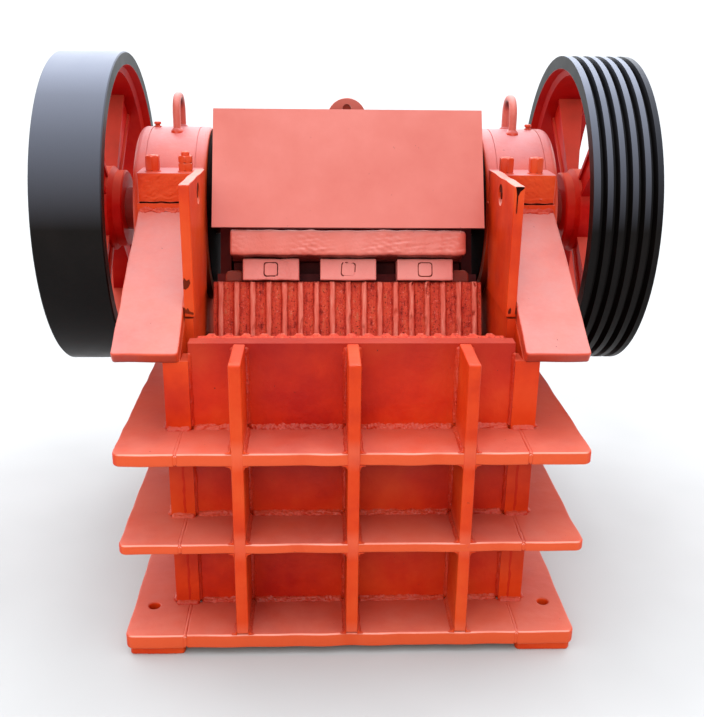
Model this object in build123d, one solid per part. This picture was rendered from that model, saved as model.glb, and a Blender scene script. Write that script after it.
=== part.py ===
from build123d import *
import math
import os

os.makedirs("parts", exist_ok=True)

# A compact fixed-plant jaw crusher with a 250 mm by 750 mm mouth.
# Millimetres. X runs across the machine, Y from the feed side to the rear, Z up from the floor.
# Y below is counted from the front edge of the flanges; MID_Y moves the origin to the middle of the length.

# Welded frame
FOOT_T = 20.0
BASE_T = 38.0
BASE_TOP = FOOT_T + BASE_T
MID_TOP, MID_T = 309.0, 26.0
UP_TOP, UP_T = 543.0, 32.0
FLANGE_X = 553.0
SEAM_X = 407.0
SIDE_IN, SIDE_OUT = 405.0, 445.0
COL_IN = 386.0
COL_Y, COL_DEEP = 140.0, 60.0
WALL_Y, WALL_T = 151.0, 40.0
WALL_TOP = 758.0
REAR_Y = 1300.0
REAR_WALL_Y, REAR_WALL_T, REAR_WALL_TOP = 1160.0, 40.0, 640.0
REAR_WALL_BACK = REAR_WALL_Y + REAR_WALL_T
SPRING_LONG, ROD_TAIL = 200.0, 100.0
SPRING_END = REAR_WALL_BACK + SPRING_LONG
LENGTH = SPRING_END + ROD_TAIL
MID_Y = LENGTH / 2
CORNER_R = 20.0
RIB_X, RIB_T = 266.0, 29.0
RIB_LAP = 70.0
FIT = 0.3
ANCHOR_X, ANCHOR_Y, ANCHOR_REAR_Y, ANCHOR_R = 500.0, 130.0, 1170.0, 14.0
FOOT_X0, FOOT_X1, FOOT_LONG = 403.0, 545.0, 240.0

# Bearings and shaft
SHAFT_Y, SHAFT_Z = 881.0, 942.0
SEAT_UP = 67.0
SEAT_Z = SHAFT_Z + SEAT_UP
HOUSING_R = 239.0
SEAT_LEDGE, SEAT_T, SEAT_RING, SEAT_DROP = 61.0, 45.0, 32.0, 90.0
SEAT_HALF = HOUSING_R + SEAT_LEDGE
HOUSING_X0, HOUSING_X1 = 387.0, 592.0
SEAT_GAP = 0.3
JOURNAL_R = 75.0
SHAFT_END_R = 62.0
ECC, ECC_R = 10.0, 95.0
RUN = 0.05
LUG_T, LUG_BACK = 80.0, 3.0
HOUSING_FILLET, COVER_RING, COVER_RING_D = 16.0, 34.0, 2.5
LOOP_X, LOOP_HALF, LOOP_UP, LOOP_BEND, LOOP_R = 483.0, 55.0, 88.0, 50.0, 11.0

# Sloped flange that climbs from the front wall to the bearing seat
SLOPE = 0.544
SLOPE_Y, SLOPE_Z = 245.0, 808.0
SLOPE_X0, SLOPE_X1 = 402.0, 564.0
SEAT_INSET = 2.0
SLOPE_T = 30.0
SLOPE_TIP_Y = 118.0

# Wheels
WHEEL_R = 447.0
WHEEL_GAP, WHEEL_WIDE = 36.0, 183.0
WHEEL_X0 = HOUSING_X1 + WHEEL_GAP
WHEEL_X1 = WHEEL_X0 + WHEEL_WIDE
SHAFT_PROUD = 6.0
RIM_R, LIP = 411.0, 18.0
HUB_R = 112.0
HUB_GAP, HUB_WIDE, HUB_STEP = 55.0, 148.0, 12.0
HUB_X0 = HOUSING_X1 + HUB_GAP
HUB_X1 = HUB_X0 + HUB_WIDE
SPOKES, SPOKE_TURN = 4, 45.0
SPOKE_IN, SPOKE_T, SPOKE_HUB, SPOKE_RIM = 74.0, 18.0, 66.0, 104.0
SPOKE_X = WHEEL_X0 + SPOKE_IN
SPOKE_EDGE_T, SPOKE_EDGE, SPOKE_FLARE_IN, SPOKE_FLARE_OUT = 12.0, 15.0, 15.0, 64.0
GROOVES, GROOVE_D = 5, 22.0
GROOVE_PITCH, GROOVE_W = 33.0, 18.0

# Chamber: fixed jaw, moving jaw and the pieces on the swing jaw
FIXED_Y = 251.0
JAW_HALF = 362.0
LEAN = math.radians(21.5)
FACE_Y, FACE_Z = 500.0, 818.0
FACE_LONG = 540.0
PLATE_T = 60.0
CAST_HALF = 355.0
RIDGE_PITCH, RIDGE_D, RIDGE_TOP = 42.6, 18.0, 0.15
BLOCK_LONG, BAR_LONG = 61.0, 72.0
BLOCK_TOP = FACE_LONG + BLOCK_LONG
BAR_TOP = BLOCK_TOP + BAR_LONG
BAR_HALF, BAR_OUT = 314.0, 100.0
BLOCK_HALF, BLOCK_OUT, BLOCK_X = 75.5, 62.0, 207.0
POCKET_SILL, POCKET_D, NOTCH_D = 26.0, 40.0, 75.0
COVER_HALF, COVER_T, COVER_LONG = 360.0, 10.0, 325.0
COVER_LEAN = math.radians(26.64)
COVER_OVER, COVER_PROUD = 2.0, 9.0
COVER_RIB_X, COVER_RIB_T, COVER_RIB_BACK = 285.0, 30.0, (860.0, 1160.0)
HEAD_R = 200.0
JAW_OVER = 47.0
JAW_TOP = BAR_TOP + JAW_OVER
HEAD_FRONT, HEAD_BACK = (738.0, 1079.0), (1000.0, 790.0)
HEEL_TOP, HEEL_LOW, JAW_TOE = (600.0, 430.0), (600.0, 312.0), (470.0, 268.0)
BAY_LOW, BAY_TOP, BAY_HEAD = (486.0, 470.0), (642.0, 868.0), (760.0, 930.0)
BAY_BACK, BAY_HEEL = (1010.0, 805.0), (612.0, 446.0)
JAW_RIBS, JAW_RIB_T = 5, 30.0
FIXED_LOW, FIXED_DROP, FIXED_WIDER = 310.0, 8.0, 10.0
CHEEK_T, CHEEK_Y, CHEEK_LOW = 20.0, 256.0, 300.0
CHEEK_FOOT_Y, CHEEK_TOP_Y, CHEEK_GAP = 345.0, 560.0, 3.0
LIFT_Y, LIFT_Z, LIFT_R, LIFT_T = 770.0, 1220.0, 54.0, 26.0
LIFT_EYE_R, LIFT_EYE_UP, LIFT_ROOT = 12.0, 26.0, 120.0

# Toggle plate and tension rod at the rear
TOGGLE_FRONT, TOGGLE_REAR, TOGGLE_T, TOGGLE_HALF = (628.0, 372.0), (940.0, 465.0), 39.4, 340.0
ROD_Z, ROD_R, ROD_EYE_Y = 225.0, 15.0, 655.0
SPRING_R, SPRING_WIRE, SPRING_TURNS = 33.0, 8.0, 7
ROD_HOLE_R, ROD_EYE_T, ROD_PIN_R = 24.0, 36.0, 13.0
WASHER_R, WASHER_T, NUT_R, NUT_T = 45.0, 12.0, 27.0, 28.0
TOGGLE_SEAT_HALF, TOGGLE_SEAT_ROOT, TOGGLE_SEAT_BACK = 60.0, 120.0, 2.0

# Guard plates beside the mouth
GUARD_T, GUARD_GAP = 25.0, 5.0
GUARD_Y, GUARD_LOW, GUARD_TOP, GUARD_FALL = 252.0, 789.0, 1112.0, 9.0
GUARD_HEEL_Y, GUARD_HEEL_Z = 520.0, 985.0
GUARD_HOLE, GUARD_HOLE_R = (422.0, 1063.0), 26.0


def block(x, y, z):
    """Box between pairs of coordinates."""
    mid = [(a[0] + a[1]) / 2 for a in (x, y, z)]
    return Pos(*mid) * Box(x[1] - x[0], y[1] - y[0], z[1] - z[0])


def prism(points, x0, x1):
    """Outline in (y, z) carried across the machine from x0 to x1."""
    return Pos(x0, 0, 0) * extrude(Plane.YZ * make_face(Polyline(*points, close=True)), x1 - x0)


def round_bar(r, x0, x1, y, z):
    """Cylinder along X."""
    return Pos((x0 + x1) / 2, y, z) * Rot(0, 90, 0) * Cylinder(r, x1 - x0)


def other_side(shape):
    return mirror(shape, about=Plane.YZ)


def slope_z(y):
    """Height of the sloped flange's top face."""
    return SLOPE_Z + (y - SLOPE_Y) * SLOPE


def jaw_point(along, out):
    """(y, z) of a point on the swing jaw: along its face from the foot, and out from the casting."""
    c, s = math.cos(LEAN), math.sin(LEAN)
    y0 = FACE_Y - FACE_LONG * s + PLATE_T * c
    z0 = FACE_Z - FACE_LONG * c - PLATE_T * s
    return (y0 + along * s - out * c, z0 + along * c + out * s)


def jaw_slab(a0, a1, out0, out1, x0, x1):
    """Slab lying on the swing jaw's face."""
    pts = [jaw_point(a0, out0), jaw_point(a1, out0), jaw_point(a1, out1), jaw_point(a0, out1)]
    return prism(pts, x0, x1)


def front_wall():
    return block((-COL_IN, COL_IN), (WALL_Y, WALL_Y + WALL_T), (BASE_TOP, WALL_TOP))


def front_flange(top, thick):
    """Cross plate of the front grid, slotted half-way for the ribs."""
    flange = block((-SEAM_X, SEAM_X), (0, COL_Y), (top - thick, top))
    flange += block((-COL_IN, COL_IN), (COL_Y - 1, WALL_Y), (top - thick, top))
    if top > BASE_TOP:
        for x in (-RIB_X, 0, RIB_X):
            half = RIB_T / 2 + FIT
            flange -= block((x - half, x + half), (-1, RIB_LAP), (top - thick - 1, top + 1))
    return flange


def front_rib(x):
    """Upright rib, slotted from behind so that it laps the cross plates."""
    rib = block((x - RIB_T / 2, x + RIB_T / 2), (0, WALL_Y), (BASE_TOP, WALL_TOP))
    for top, thick in ((MID_TOP, MID_T), (UP_TOP, UP_T)):
        rib -= block((x - RIB_T, x + RIB_T), (RIB_LAP, WALL_Y + 1), (top - thick - FIT, top + FIT))
    return rib


def side_flange(top, thick):
    """Long plate along one side wall, with rounded outer corners at the front and rear."""
    flange = block((SEAM_X, FLANGE_X), (0, REAR_Y), (top - thick, top))
    corners = flange.edges().filter_by(Axis.Z).group_by(Axis.X)[-1]
    flange = fillet(corners, CORNER_R)
    return flange - block((0, SIDE_OUT), (COL_Y, REAR_WALL_BACK), (top - thick - 1, top + 1))


def rear_flange(top, thick):
    """Cross plate behind the rear wall."""
    return block((-SEAM_X, SEAM_X), (REAR_WALL_BACK, REAR_Y), (top - thick, top))


def base_side_flange():
    """Bottom side plate with its two foot pads and the anchor bolt holes."""
    flange = side_flange(BASE_TOP, BASE_T)
    for y0, y1 in ((0, FOOT_LONG), (REAR_Y - FOOT_LONG, REAR_Y)):
        flange += block((FOOT_X0 + 5, FOOT_X1), (max(y0, 8), min(y1, REAR_Y - 8)), (0, FOOT_T))
    for y in (ANCHOR_Y, ANCHOR_REAR_Y):
        flange -= Pos(ANCHOR_X, y, BASE_TOP / 2) * Cylinder(ANCHOR_R, BASE_TOP + 2)
    return flange


def side_wall():
    """Side plate with its front column and the half-round bearing seat."""
    seat0, seat1 = SHAFT_Y - SEAT_HALF, SHAFT_Y + SEAT_HALF
    drop = SLOPE_T / math.cos(math.atan(SLOPE))
    pts = [(COL_Y, BASE_TOP), (COL_Y, slope_z(COL_Y) - drop), (seat0, slope_z(seat0) - drop),
           (seat0, SEAT_Z), (seat1, SEAT_Z), (seat1, SEAT_Z - SEAT_DROP),
           (REAR_WALL_BACK, REAR_WALL_TOP), (REAR_WALL_BACK, BASE_TOP)]
    wall = prism(pts, SIDE_IN, SIDE_OUT)
    wall += block((COL_IN, SIDE_OUT), (COL_Y, COL_Y + COL_DEEP), (BASE_TOP, slope_z(COL_Y) - drop))
    wall += block((HOUSING_X0, SLOPE_X1), (seat0, seat1), (SEAT_Z - SEAT_T, SEAT_Z))
    wall += round_bar(HOUSING_R + SEAT_RING, HOUSING_X0, SLOPE_X1, SHAFT_Y, SHAFT_Z)
    wall -= block((0, FLANGE_X * 2), (0, REAR_Y), (SEAT_Z, SEAT_Z + 2 * HOUSING_R))
    wall -= round_bar(HOUSING_R + SEAT_GAP, 0, HOUSING_X1 * 2, SHAFT_Y, SHAFT_Z)
    wall -= block((0, FLANGE_X * 2), (SHAFT_Y - HOUSING_R - SEAT_GAP, SHAFT_Y + HOUSING_R + SEAT_GAP),
                  (SHAFT_Z, SEAT_Z + 1))
    return wall


def sloped_flange():
    drop = SLOPE_T / math.cos(math.atan(SLOPE))
    y0, y1 = SLOPE_TIP_Y, SHAFT_Y - SEAT_HALF
    pts = [(y0, slope_z(y0) - drop), (y0, slope_z(y0)), (y1, slope_z(y1)), (y1, slope_z(y1) - drop)]
    return prism(pts, SLOPE_X0 + 3, SLOPE_X1)


def bearing_housing():
    """Round housing with front and rear lugs that bolt down on the seat."""
    body = round_bar(HOUSING_R, HOUSING_X0, HOUSING_X1, SHAFT_Y, SHAFT_Z)
    body = fillet(body.edges(), HOUSING_FILLET)
    reach = SEAT_HALF - LUG_BACK
    lugs = block((HOUSING_X0 + 10, SLOPE_X1 - SEAT_INSET), (SHAFT_Y - reach, SHAFT_Y + reach),
                 (SEAT_Z, SEAT_Z + LUG_T))
    body += fillet(lugs.edges().filter_by(Axis.Z), 6)
    for x in (HOUSING_X0 + COVER_RING, HOUSING_X1 - COVER_RING):
        body -= round_bar(HOUSING_R + 1, x - 1, x + 1, SHAFT_Y, SHAFT_Z) \
            - round_bar(HOUSING_R - COVER_RING_D, x - 2, x + 2, SHAFT_Y, SHAFT_Z) \
            - block((0, 2 * HOUSING_X1), (0, SHAFT_Y * 2), (SEAT_Z - HOUSING_R, SEAT_Z + LUG_T))
    body -= round_bar(JOURNAL_R + RUN, HOUSING_X0 - 1, HOUSING_X1 + 1, SHAFT_Y, SHAFT_Z)
    return body


def lifting_loop():
    """Bent bar loop on top of the housing."""
    top = SHAFT_Z + HOUSING_R
    foot = -2 * LOOP_R
    path = FilletPolyline((0, -LOOP_HALF, foot), (0, -LOOP_HALF, LOOP_UP), (0, LOOP_HALF, LOOP_UP),
                          (0, LOOP_HALF, foot), radius=LOOP_BEND)
    loop = sweep(Plane((0, -LOOP_HALF, foot), z_dir=(0, 0, 1)) * Circle(LOOP_R), path)
    loop = Pos(LOOP_X, SHAFT_Y, top) * loop
    return loop - round_bar(HOUSING_R, HOUSING_X0, HOUSING_X1, SHAFT_Y, SHAFT_Z)


def guard_plate():
    """Upright plate that keeps the feed between the bearings."""
    back = SHAFT_Y - SEAT_HALF - GUARD_GAP
    pts = [(GUARD_Y, GUARD_LOW), (GUARD_Y, GUARD_TOP), (back, GUARD_TOP - GUARD_FALL), (back, GUARD_HEEL_Z),
           (GUARD_HEEL_Y, GUARD_LOW)]
    plate = prism(pts, SIDE_IN - GUARD_T, SIDE_IN)
    return plate - round_bar(GUARD_HOLE_R, 0, SIDE_IN + 1, *GUARD_HOLE)


def cheek_plate():
    """Wear plate on the side wall between the two jaws."""
    top = GUARD_LOW - CHEEK_GAP
    pts = [(CHEEK_Y, CHEEK_LOW), (CHEEK_Y, top), (CHEEK_TOP_Y, top), (CHEEK_FOOT_Y, CHEEK_LOW)]
    return prism(pts, SIDE_IN - CHEEK_T, SIDE_IN)


def toothed(half, thick, long):
    """Upright plate whose front carries rounded vertical ridges; x across, y deep, z long."""
    pts = [(-half, 0)]
    step = RIDGE_PITCH
    n = int(half // step)
    for i in range(-n, n + 1):
        x = i * step
        for dx, dz in ((-0.3, 0), (-RIDGE_TOP, 1), (RIDGE_TOP, 1), (0.3, 0)):
            px = x + dx * step
            if -half < px < half and (px, 0) != pts[-1]:
                pts.append((px, dz * RIDGE_D))
    pts += [(half, 0), (half, -(thick - RIDGE_D)), (-half, -(thick - RIDGE_D))]
    clean = [pts[0]]
    for p in pts[1:]:
        if math.dist(p, clean[-1]) > 0.5:
            clean.append(p)
    face = make_face(Polyline(*[(p[0], -p[1]) for p in clean], close=True))
    return extrude(face, long)


def moving_jaw_plate():
    """Ridged plate; local -y is the crushing face, local z runs up the swing jaw."""
    y, z = jaw_point(0, PLATE_T - RIDGE_D)
    plate = toothed(JAW_HALF, PLATE_T, FACE_LONG)
    return Pos(0, y, z) * Rot(-math.degrees(LEAN), 0, 0) * plate


def fixed_jaw_plate():
    plate = toothed(JAW_HALF + FIXED_WIDER, PLATE_T, WALL_TOP - FIXED_LOW - FIXED_DROP)
    return Pos(0, FIXED_Y - RIDGE_D, FIXED_LOW) * Rot(0, 0, 180) * plate


def jaw_body(half):
    """Swing jaw's outside: head round the eccentric and the slab that carries the jaw plate."""
    hub_y, hub_z = SHAFT_Y + ECC, SHAFT_Z
    pts = [jaw_point(0, 0), jaw_point(JAW_TOP, 0), HEAD_FRONT, (hub_y, hub_z), HEAD_BACK, HEEL_TOP,
           HEEL_LOW, JAW_TOE]
    return prism(pts, -half, half) + round_bar(HEAD_R, -half, half, hub_y, hub_z)


def swing_jaw():
    """Cast swing jaw, bored for the eccentric, pocketed beside the blocks and ribbed behind the slab."""
    body = jaw_body(CAST_HALF)
    body -= round_bar(ECC_R + RUN, -CAST_HALF - 1, CAST_HALF + 1, SHAFT_Y + ECC, SHAFT_Z)
    bay = (2 * CAST_HALF - JAW_RIBS * JAW_RIB_T) / (JAW_RIBS - 1)
    outline = [BAY_LOW, BAY_TOP, BAY_HEAD, BAY_BACK, BAY_HEEL]
    low = FACE_LONG + POCKET_SILL
    for side in (-1, 1):
        inner, outer = BLOCK_X - BLOCK_HALF, BLOCK_X + BLOCK_HALF
        for x0, x1 in ((side * BLOCK_HALF, side * inner), (side * outer, side * BAR_HALF)):
            body -= jaw_slab(low, BLOCK_TOP, -POCKET_D, 1, min(x0, x1), max(x0, x1))
        x0, x1 = sorted((side * BAR_HALF, side * (CAST_HALF + 1)))
        body -= jaw_slab(low, JAW_TOP + NOTCH_D, -NOTCH_D, 1, x0, x1)
    for i in range(JAW_RIBS - 1):
        x = -CAST_HALF + JAW_RIB_T + i * (bay + JAW_RIB_T)
        body -= prism(outline, x, x + bay) - round_bar(HEAD_R, x - 1, x + bay + 1, SHAFT_Y + ECC, SHAFT_Z)
    return body


def ledge_bar():
    return jaw_slab(BLOCK_TOP, BAR_TOP, 0, BAR_OUT, -BAR_HALF, BAR_HALF)


def wedge_block(x):
    return jaw_slab(FACE_LONG, BLOCK_TOP, 0, BLOCK_OUT, x - BLOCK_HALF, x + BLOCK_HALF)


def cover_plate():
    """Thin tilted sheet that closes the top of the swing jaw, on two stand-off ribs."""
    y0, z0 = jaw_point(BAR_TOP + COVER_OVER, BAR_OUT + COVER_PROUD)
    s, c = math.sin(COVER_LEAN), math.cos(COVER_LEAN)
    y1, z1 = y0 + COVER_LONG * s, z0 + COVER_LONG * c
    ny, nz = c * COVER_T, -s * COVER_T
    plate = prism([(y0, z0), (y1, z1), (y1 + ny, z1 + nz), (y0 + ny, z0 + nz)], -COVER_HALF, COVER_HALF)
    for x in (-COVER_RIB_X, COVER_RIB_X):
        rib = [(y0 + ny, z0 + nz), (y1 + ny, z1 + nz), COVER_RIB_BACK, jaw_point(JAW_TOP + 1, 0)]
        plate += prism(rib, x - COVER_RIB_T / 2, x + COVER_RIB_T / 2)
    plate -= jaw_body(COVER_HALF)
    return plate - jaw_slab(BLOCK_TOP, BAR_TOP, -1, BAR_OUT + FIT, -BAR_HALF - FIT, BAR_HALF + FIT)


def lifting_lug():
    """Round-topped plate with an eye, standing on the swing jaw's head."""
    arch = Pos(0, LIFT_Y, LIFT_Z) * Rot(90, 0, 0) * Cylinder(LIFT_R, LIFT_T)
    arch += block((-LIFT_R, LIFT_R), (LIFT_Y - LIFT_T / 2, LIFT_Y + LIFT_T / 2), (LIFT_Z - LIFT_ROOT, LIFT_Z))
    arch -= Pos(0, LIFT_Y, LIFT_Z + LIFT_EYE_UP) * Rot(90, 0, 0) * Cylinder(LIFT_EYE_R, 2 * LIFT_T)
    return arch - jaw_body(2 * LIFT_R)


def eccentric_shaft():
    end = WHEEL_X1 + SHAFT_PROUD
    shaft = round_bar(SHAFT_END_R, -end, end, SHAFT_Y, SHAFT_Z)
    shaft += round_bar(JOURNAL_R, -HOUSING_X1, HOUSING_X1, SHAFT_Y, SHAFT_Z)
    shaft += round_bar(ECC_R, -CAST_HALF - 12, CAST_HALF + 12, SHAFT_Y + ECC, SHAFT_Z)
    return shaft


def spoke():
    """One I-section spoke pointing up: a tapered web between two flanges that widen to the rim."""
    z0, z1 = HUB_R - HUB_STEP, RIM_R - HUB_STEP
    web = [(-SPOKE_HUB / 2, z0), (SPOKE_HUB / 2, z0), (SPOKE_RIM / 2, z1), (-SPOKE_RIM / 2, z1)]
    body = prism(web, SPOKE_X - SPOKE_T / 2, SPOKE_X + SPOKE_T / 2)
    outline = [(SPOKE_X - SPOKE_EDGE, z0), (SPOKE_X + SPOKE_EDGE, z0), (SPOKE_X + SPOKE_FLARE_OUT, z1),
               (SPOKE_X - SPOKE_FLARE_IN, z1)]
    side = extrude(Plane.XZ * make_face(Polyline(*outline, close=True)), SPOKE_EDGE_T / 2, both=True)
    tilt = math.degrees(math.atan((SPOKE_RIM - SPOKE_HUB) / 2 / (z1 - z0)))
    for sign in (-1, 1):
        foot = Pos(0, sign * (SPOKE_HUB - SPOKE_EDGE_T) / 2, z0)
        body += foot * Rot(-sign * tilt, 0, 0) * Pos(0, 0, -z0) * side
    return body


def wheel_disc(rim):
    """Rim, four I-section spokes and a stepped hub about X."""
    hub = turned([(HUB_X0, 0), (HUB_X0, HUB_R - 4), (HUB_X0 + 4, HUB_R), (SPOKE_X - 28, HUB_R),
                  (SPOKE_X - 16, HUB_R + HUB_STEP), (SPOKE_X + 16, HUB_R + HUB_STEP), (SPOKE_X + 28, HUB_R),
                  (HUB_X1 - 4, HUB_R), (HUB_X1, HUB_R - 4), (HUB_X1, 0)])
    wheel = rim + hub
    arm = spoke()
    for i in range(SPOKES):
        wheel += Pos(0, SHAFT_Y, SHAFT_Z) * Rot(SPOKE_TURN + i * 360 / SPOKES, 0, 0) * arm
    wheel -= round_bar(SHAFT_END_R, 0, 2 * WHEEL_X1, SHAFT_Y, SHAFT_Z)
    return wheel


def turned(points):
    """Revolve an outline of (x, radius) about the shaft."""
    face = Plane.XY * make_face(Polyline(*points, close=True))
    ring = revolve(face, Axis.X, 360)
    return Pos(0, SHAFT_Y, SHAFT_Z) * ring


def rim_inside():
    """Inner side of both rims: a lip at each face and a thicker middle."""
    return [(WHEEL_X1, RIM_R), (WHEEL_X1 - 22, RIM_R - 3), (WHEEL_X1 - 30, RIM_R - LIP),
            (WHEEL_X0 + 30, RIM_R - LIP), (WHEEL_X0 + 22, RIM_R - 3), (WHEEL_X0, RIM_R)]


def flywheel():
    rim = turned([(WHEEL_X0, WHEEL_R - 3), (WHEEL_X0 + 3, WHEEL_R), (WHEEL_X1 - 3, WHEEL_R),
                  (WHEEL_X1, WHEEL_R - 3)] + rim_inside())
    return other_side(wheel_disc(rim))


def drive_pulley():
    pts = [(WHEEL_X0, WHEEL_R)]
    for i in range(GROOVES):
        x = WHEEL_X0 + 18 + i * GROOVE_PITCH
        pts += [(x, WHEEL_R), (x + 5, WHEEL_R - GROOVE_D), (x + GROOVE_W - 5, WHEEL_R - GROOVE_D),
                (x + GROOVE_W, WHEEL_R)]
    pts += [(WHEEL_X1, WHEEL_R)]
    return wheel_disc(turned(pts + rim_inside()))


def rear_wall():
    """Rear cross wall with the hole for the tension rod."""
    wall = block((-SIDE_IN, SIDE_IN), (REAR_WALL_Y, REAR_WALL_BACK), (BASE_TOP, REAR_WALL_TOP))
    return wall - Pos(0, REAR_WALL_Y, ROD_Z) * Rot(90, 0, 0) * Cylinder(ROD_HOLE_R, 5 * REAR_WALL_T)


def toggle_beam():
    """Seat block that carries the rear end of the toggle plate."""
    y, z = TOGGLE_REAR
    front, half, root = y + TOGGLE_SEAT_BACK, TOGGLE_SEAT_HALF, TOGGLE_SEAT_ROOT
    pts = [(front, z - half), (front, z + half), (REAR_WALL_Y, z + root), (REAR_WALL_Y, z - root)]
    beam = prism(pts, -SIDE_IN, SIDE_IN)
    return beam - round_bar(TOGGLE_T / 2 + FIT, -SIDE_IN - 1, SIDE_IN + 1, y, z)


def toggle_plate():
    """Round-ended plate between the seat block and the swing jaw's heel."""
    (y0, z0), (y1, z1) = TOGGLE_FRONT, TOGGLE_REAR
    size = math.hypot(y1 - y0, z1 - z0)
    ny, nz = -(z1 - z0) / size * (TOGGLE_T / 2 - 3), (y1 - y0) / size * (TOGGLE_T / 2 - 3)
    pts = [(y0 + ny, z0 + nz), (y1 + ny, z1 + nz), (y1 - ny, z1 - nz), (y0 - ny, z0 - nz)]
    plate = prism(pts, -TOGGLE_HALF, TOGGLE_HALF)
    for y, z in (TOGGLE_FRONT, TOGGLE_REAR):
        plate += round_bar(TOGGLE_T / 2, -TOGGLE_HALF, TOGGLE_HALF, y, z)
    return plate


def along_y(shape, y):
    """Put a shape whose axis is Z on the tension rod's line, with its middle at y."""
    return Pos(0, y, ROD_Z) * Rot(90, 0, 0) * shape


def tension_rod():
    """Rod with an eye in front, and a washer and nut that close the spring."""
    y0, y1 = ROD_EYE_Y, LENGTH
    rod = along_y(Cylinder(ROD_R, y1 - y0), (y0 + y1) / 2)
    rod += Pos(0, y0, ROD_Z) * Rot(0, 90, 0) * Cylinder(2 * ROD_R, ROD_EYE_T)
    rod -= Pos(0, y0, ROD_Z) * Rot(0, 90, 0) * Cylinder(ROD_PIN_R, 2 * ROD_EYE_T)
    rod += along_y(Cylinder(WASHER_R, WASHER_T), SPRING_END + WASHER_T / 2)
    rod += along_y(extrude(RegularPolygon(NUT_R, 6), NUT_T / 2, both=True), SPRING_END + WASHER_T + NUT_T / 2)
    return rod


def tension_spring():
    """Coil spring squeezed between the rear wall and the washer."""
    wire = SPRING_WIRE
    height = SPRING_LONG - 2 * wire
    helix = Helix(pitch=height / SPRING_TURNS, height=height, radius=SPRING_R)
    coil = sweep(Plane(helix @ 0, z_dir=helix % 0) * Circle(wire), helix, is_frenet=True)
    return Pos(0, SPRING_END - wire, ROD_Z) * Rot(90, 0, 0) * coil


PIECES = {
    "front_wall": front_wall(),
    "front_flange_base": front_flange(BASE_TOP, BASE_T),
    "front_flange_middle": front_flange(MID_TOP, MID_T),
    "front_flange_upper": front_flange(UP_TOP, UP_T),
    "front_rib_left": front_rib(-RIB_X),
    "front_rib_centre": front_rib(0),
    "front_rib_right": front_rib(RIB_X),
    "fixed_jaw_plate": fixed_jaw_plate(),
    "rear_wall": rear_wall(),
    "rear_flange_base": rear_flange(BASE_TOP, BASE_T),
    "rear_flange_middle": rear_flange(MID_TOP, MID_T),
    "rear_flange_upper": rear_flange(UP_TOP, UP_T),
    "toggle_beam": toggle_beam(),
    "toggle_plate": toggle_plate(),
    "tension_rod": tension_rod(),
    "tension_spring": tension_spring(),
    "eccentric_shaft": eccentric_shaft(),
    "flywheel": flywheel(),
    "drive_pulley": drive_pulley(),
    "swing_jaw": swing_jaw(),
    "moving_jaw_plate": moving_jaw_plate(),
    "ledge_bar": ledge_bar(),
    "wedge_block_left": wedge_block(-BLOCK_X),
    "wedge_block_centre": wedge_block(0),
    "wedge_block_right": wedge_block(BLOCK_X),
    "cover_plate": cover_plate(),
    "lifting_lug": lifting_lug(),
}
for name, build in (("side_wall", side_wall), ("side_flange_base", base_side_flange),
                    ("side_flange_middle", lambda: side_flange(MID_TOP, MID_T)),
                    ("side_flange_upper", lambda: side_flange(UP_TOP, UP_T)),
                    ("sloped_flange", sloped_flange), ("bearing_housing", bearing_housing),
                    ("lifting_loop", lifting_loop), ("guard_plate", guard_plate),
                    ("cheek_plate", cheek_plate)):
    shape = build()
    PIECES[name + "_right"] = shape
    PIECES[name + "_left"] = other_side(shape)

for name, shape in PIECES.items():
    export_step(Pos(0, -MID_Y, 0) * shape, "parts/" + name + ".step")
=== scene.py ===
# %% [markdown]
# Jaw crusher. Two heavy wheels turn an eccentric shaft, and the shaft swings a toothed jaw against a fixed one.
# The frame is welded from thick plate and brushed with orange-red enamel. The imported solids are the skeleton:
# this lesson adds the finishes, the welds, the bolts and the torch-cut edges that make it look like the real one.
# The solids load first.

# %% Load the solids
import math
from functools import partial

import bmesh
import bpy
import numpy as np
from mathutils import Matrix, Vector


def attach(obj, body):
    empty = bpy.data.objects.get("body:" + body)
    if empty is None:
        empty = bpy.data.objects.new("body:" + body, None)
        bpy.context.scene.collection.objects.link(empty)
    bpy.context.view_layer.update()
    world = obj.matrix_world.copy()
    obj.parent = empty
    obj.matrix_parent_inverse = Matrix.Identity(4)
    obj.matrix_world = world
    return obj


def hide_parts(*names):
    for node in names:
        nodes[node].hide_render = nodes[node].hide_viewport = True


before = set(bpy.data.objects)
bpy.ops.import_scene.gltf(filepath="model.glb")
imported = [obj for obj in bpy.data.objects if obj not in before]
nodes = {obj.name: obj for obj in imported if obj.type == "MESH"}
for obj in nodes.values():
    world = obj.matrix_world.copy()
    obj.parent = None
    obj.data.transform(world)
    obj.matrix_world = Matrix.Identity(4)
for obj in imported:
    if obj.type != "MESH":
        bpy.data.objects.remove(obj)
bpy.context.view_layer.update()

# %% [markdown]
# Lengths below are millimetres as on a drawing: x across, y back from the front edge of the flanges, z up.
# Blender works in metres from the middle of the machine, so one function does the change.

# %% Millimetres to metres
MID_Y = 750.0


def metres(points):
    """Drawing millimetres to metres in the frame: y loses half the length, then everything is over 1000."""
    return (np.asarray(points, float) - (0.0, MID_Y, 0.0)) / 1000.0


print("front edge at y", metres((0.0, 0.0, 0.0))[1], "m")

# %% [markdown]
# The camera stands in front of the feed side, a little left of the middle and above the wheels, and looks down
# 19 degrees. It is built from its three directions, so it needs no tracking constraint. The plain Standard view
# keeps the strong orange-red as strong as the paint is, where a film-like view would wash it out.

# %% Camera
EYE = Vector((-0.0837, -2.6643, 1.4499))
YAW, TILT, ROLL = (math.radians(a) for a in (2.2807, 19.4419, 0.6779))
LENS_PX, WIDE_PX, SENSOR_MM = 927.4, 704, 36.0


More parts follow.
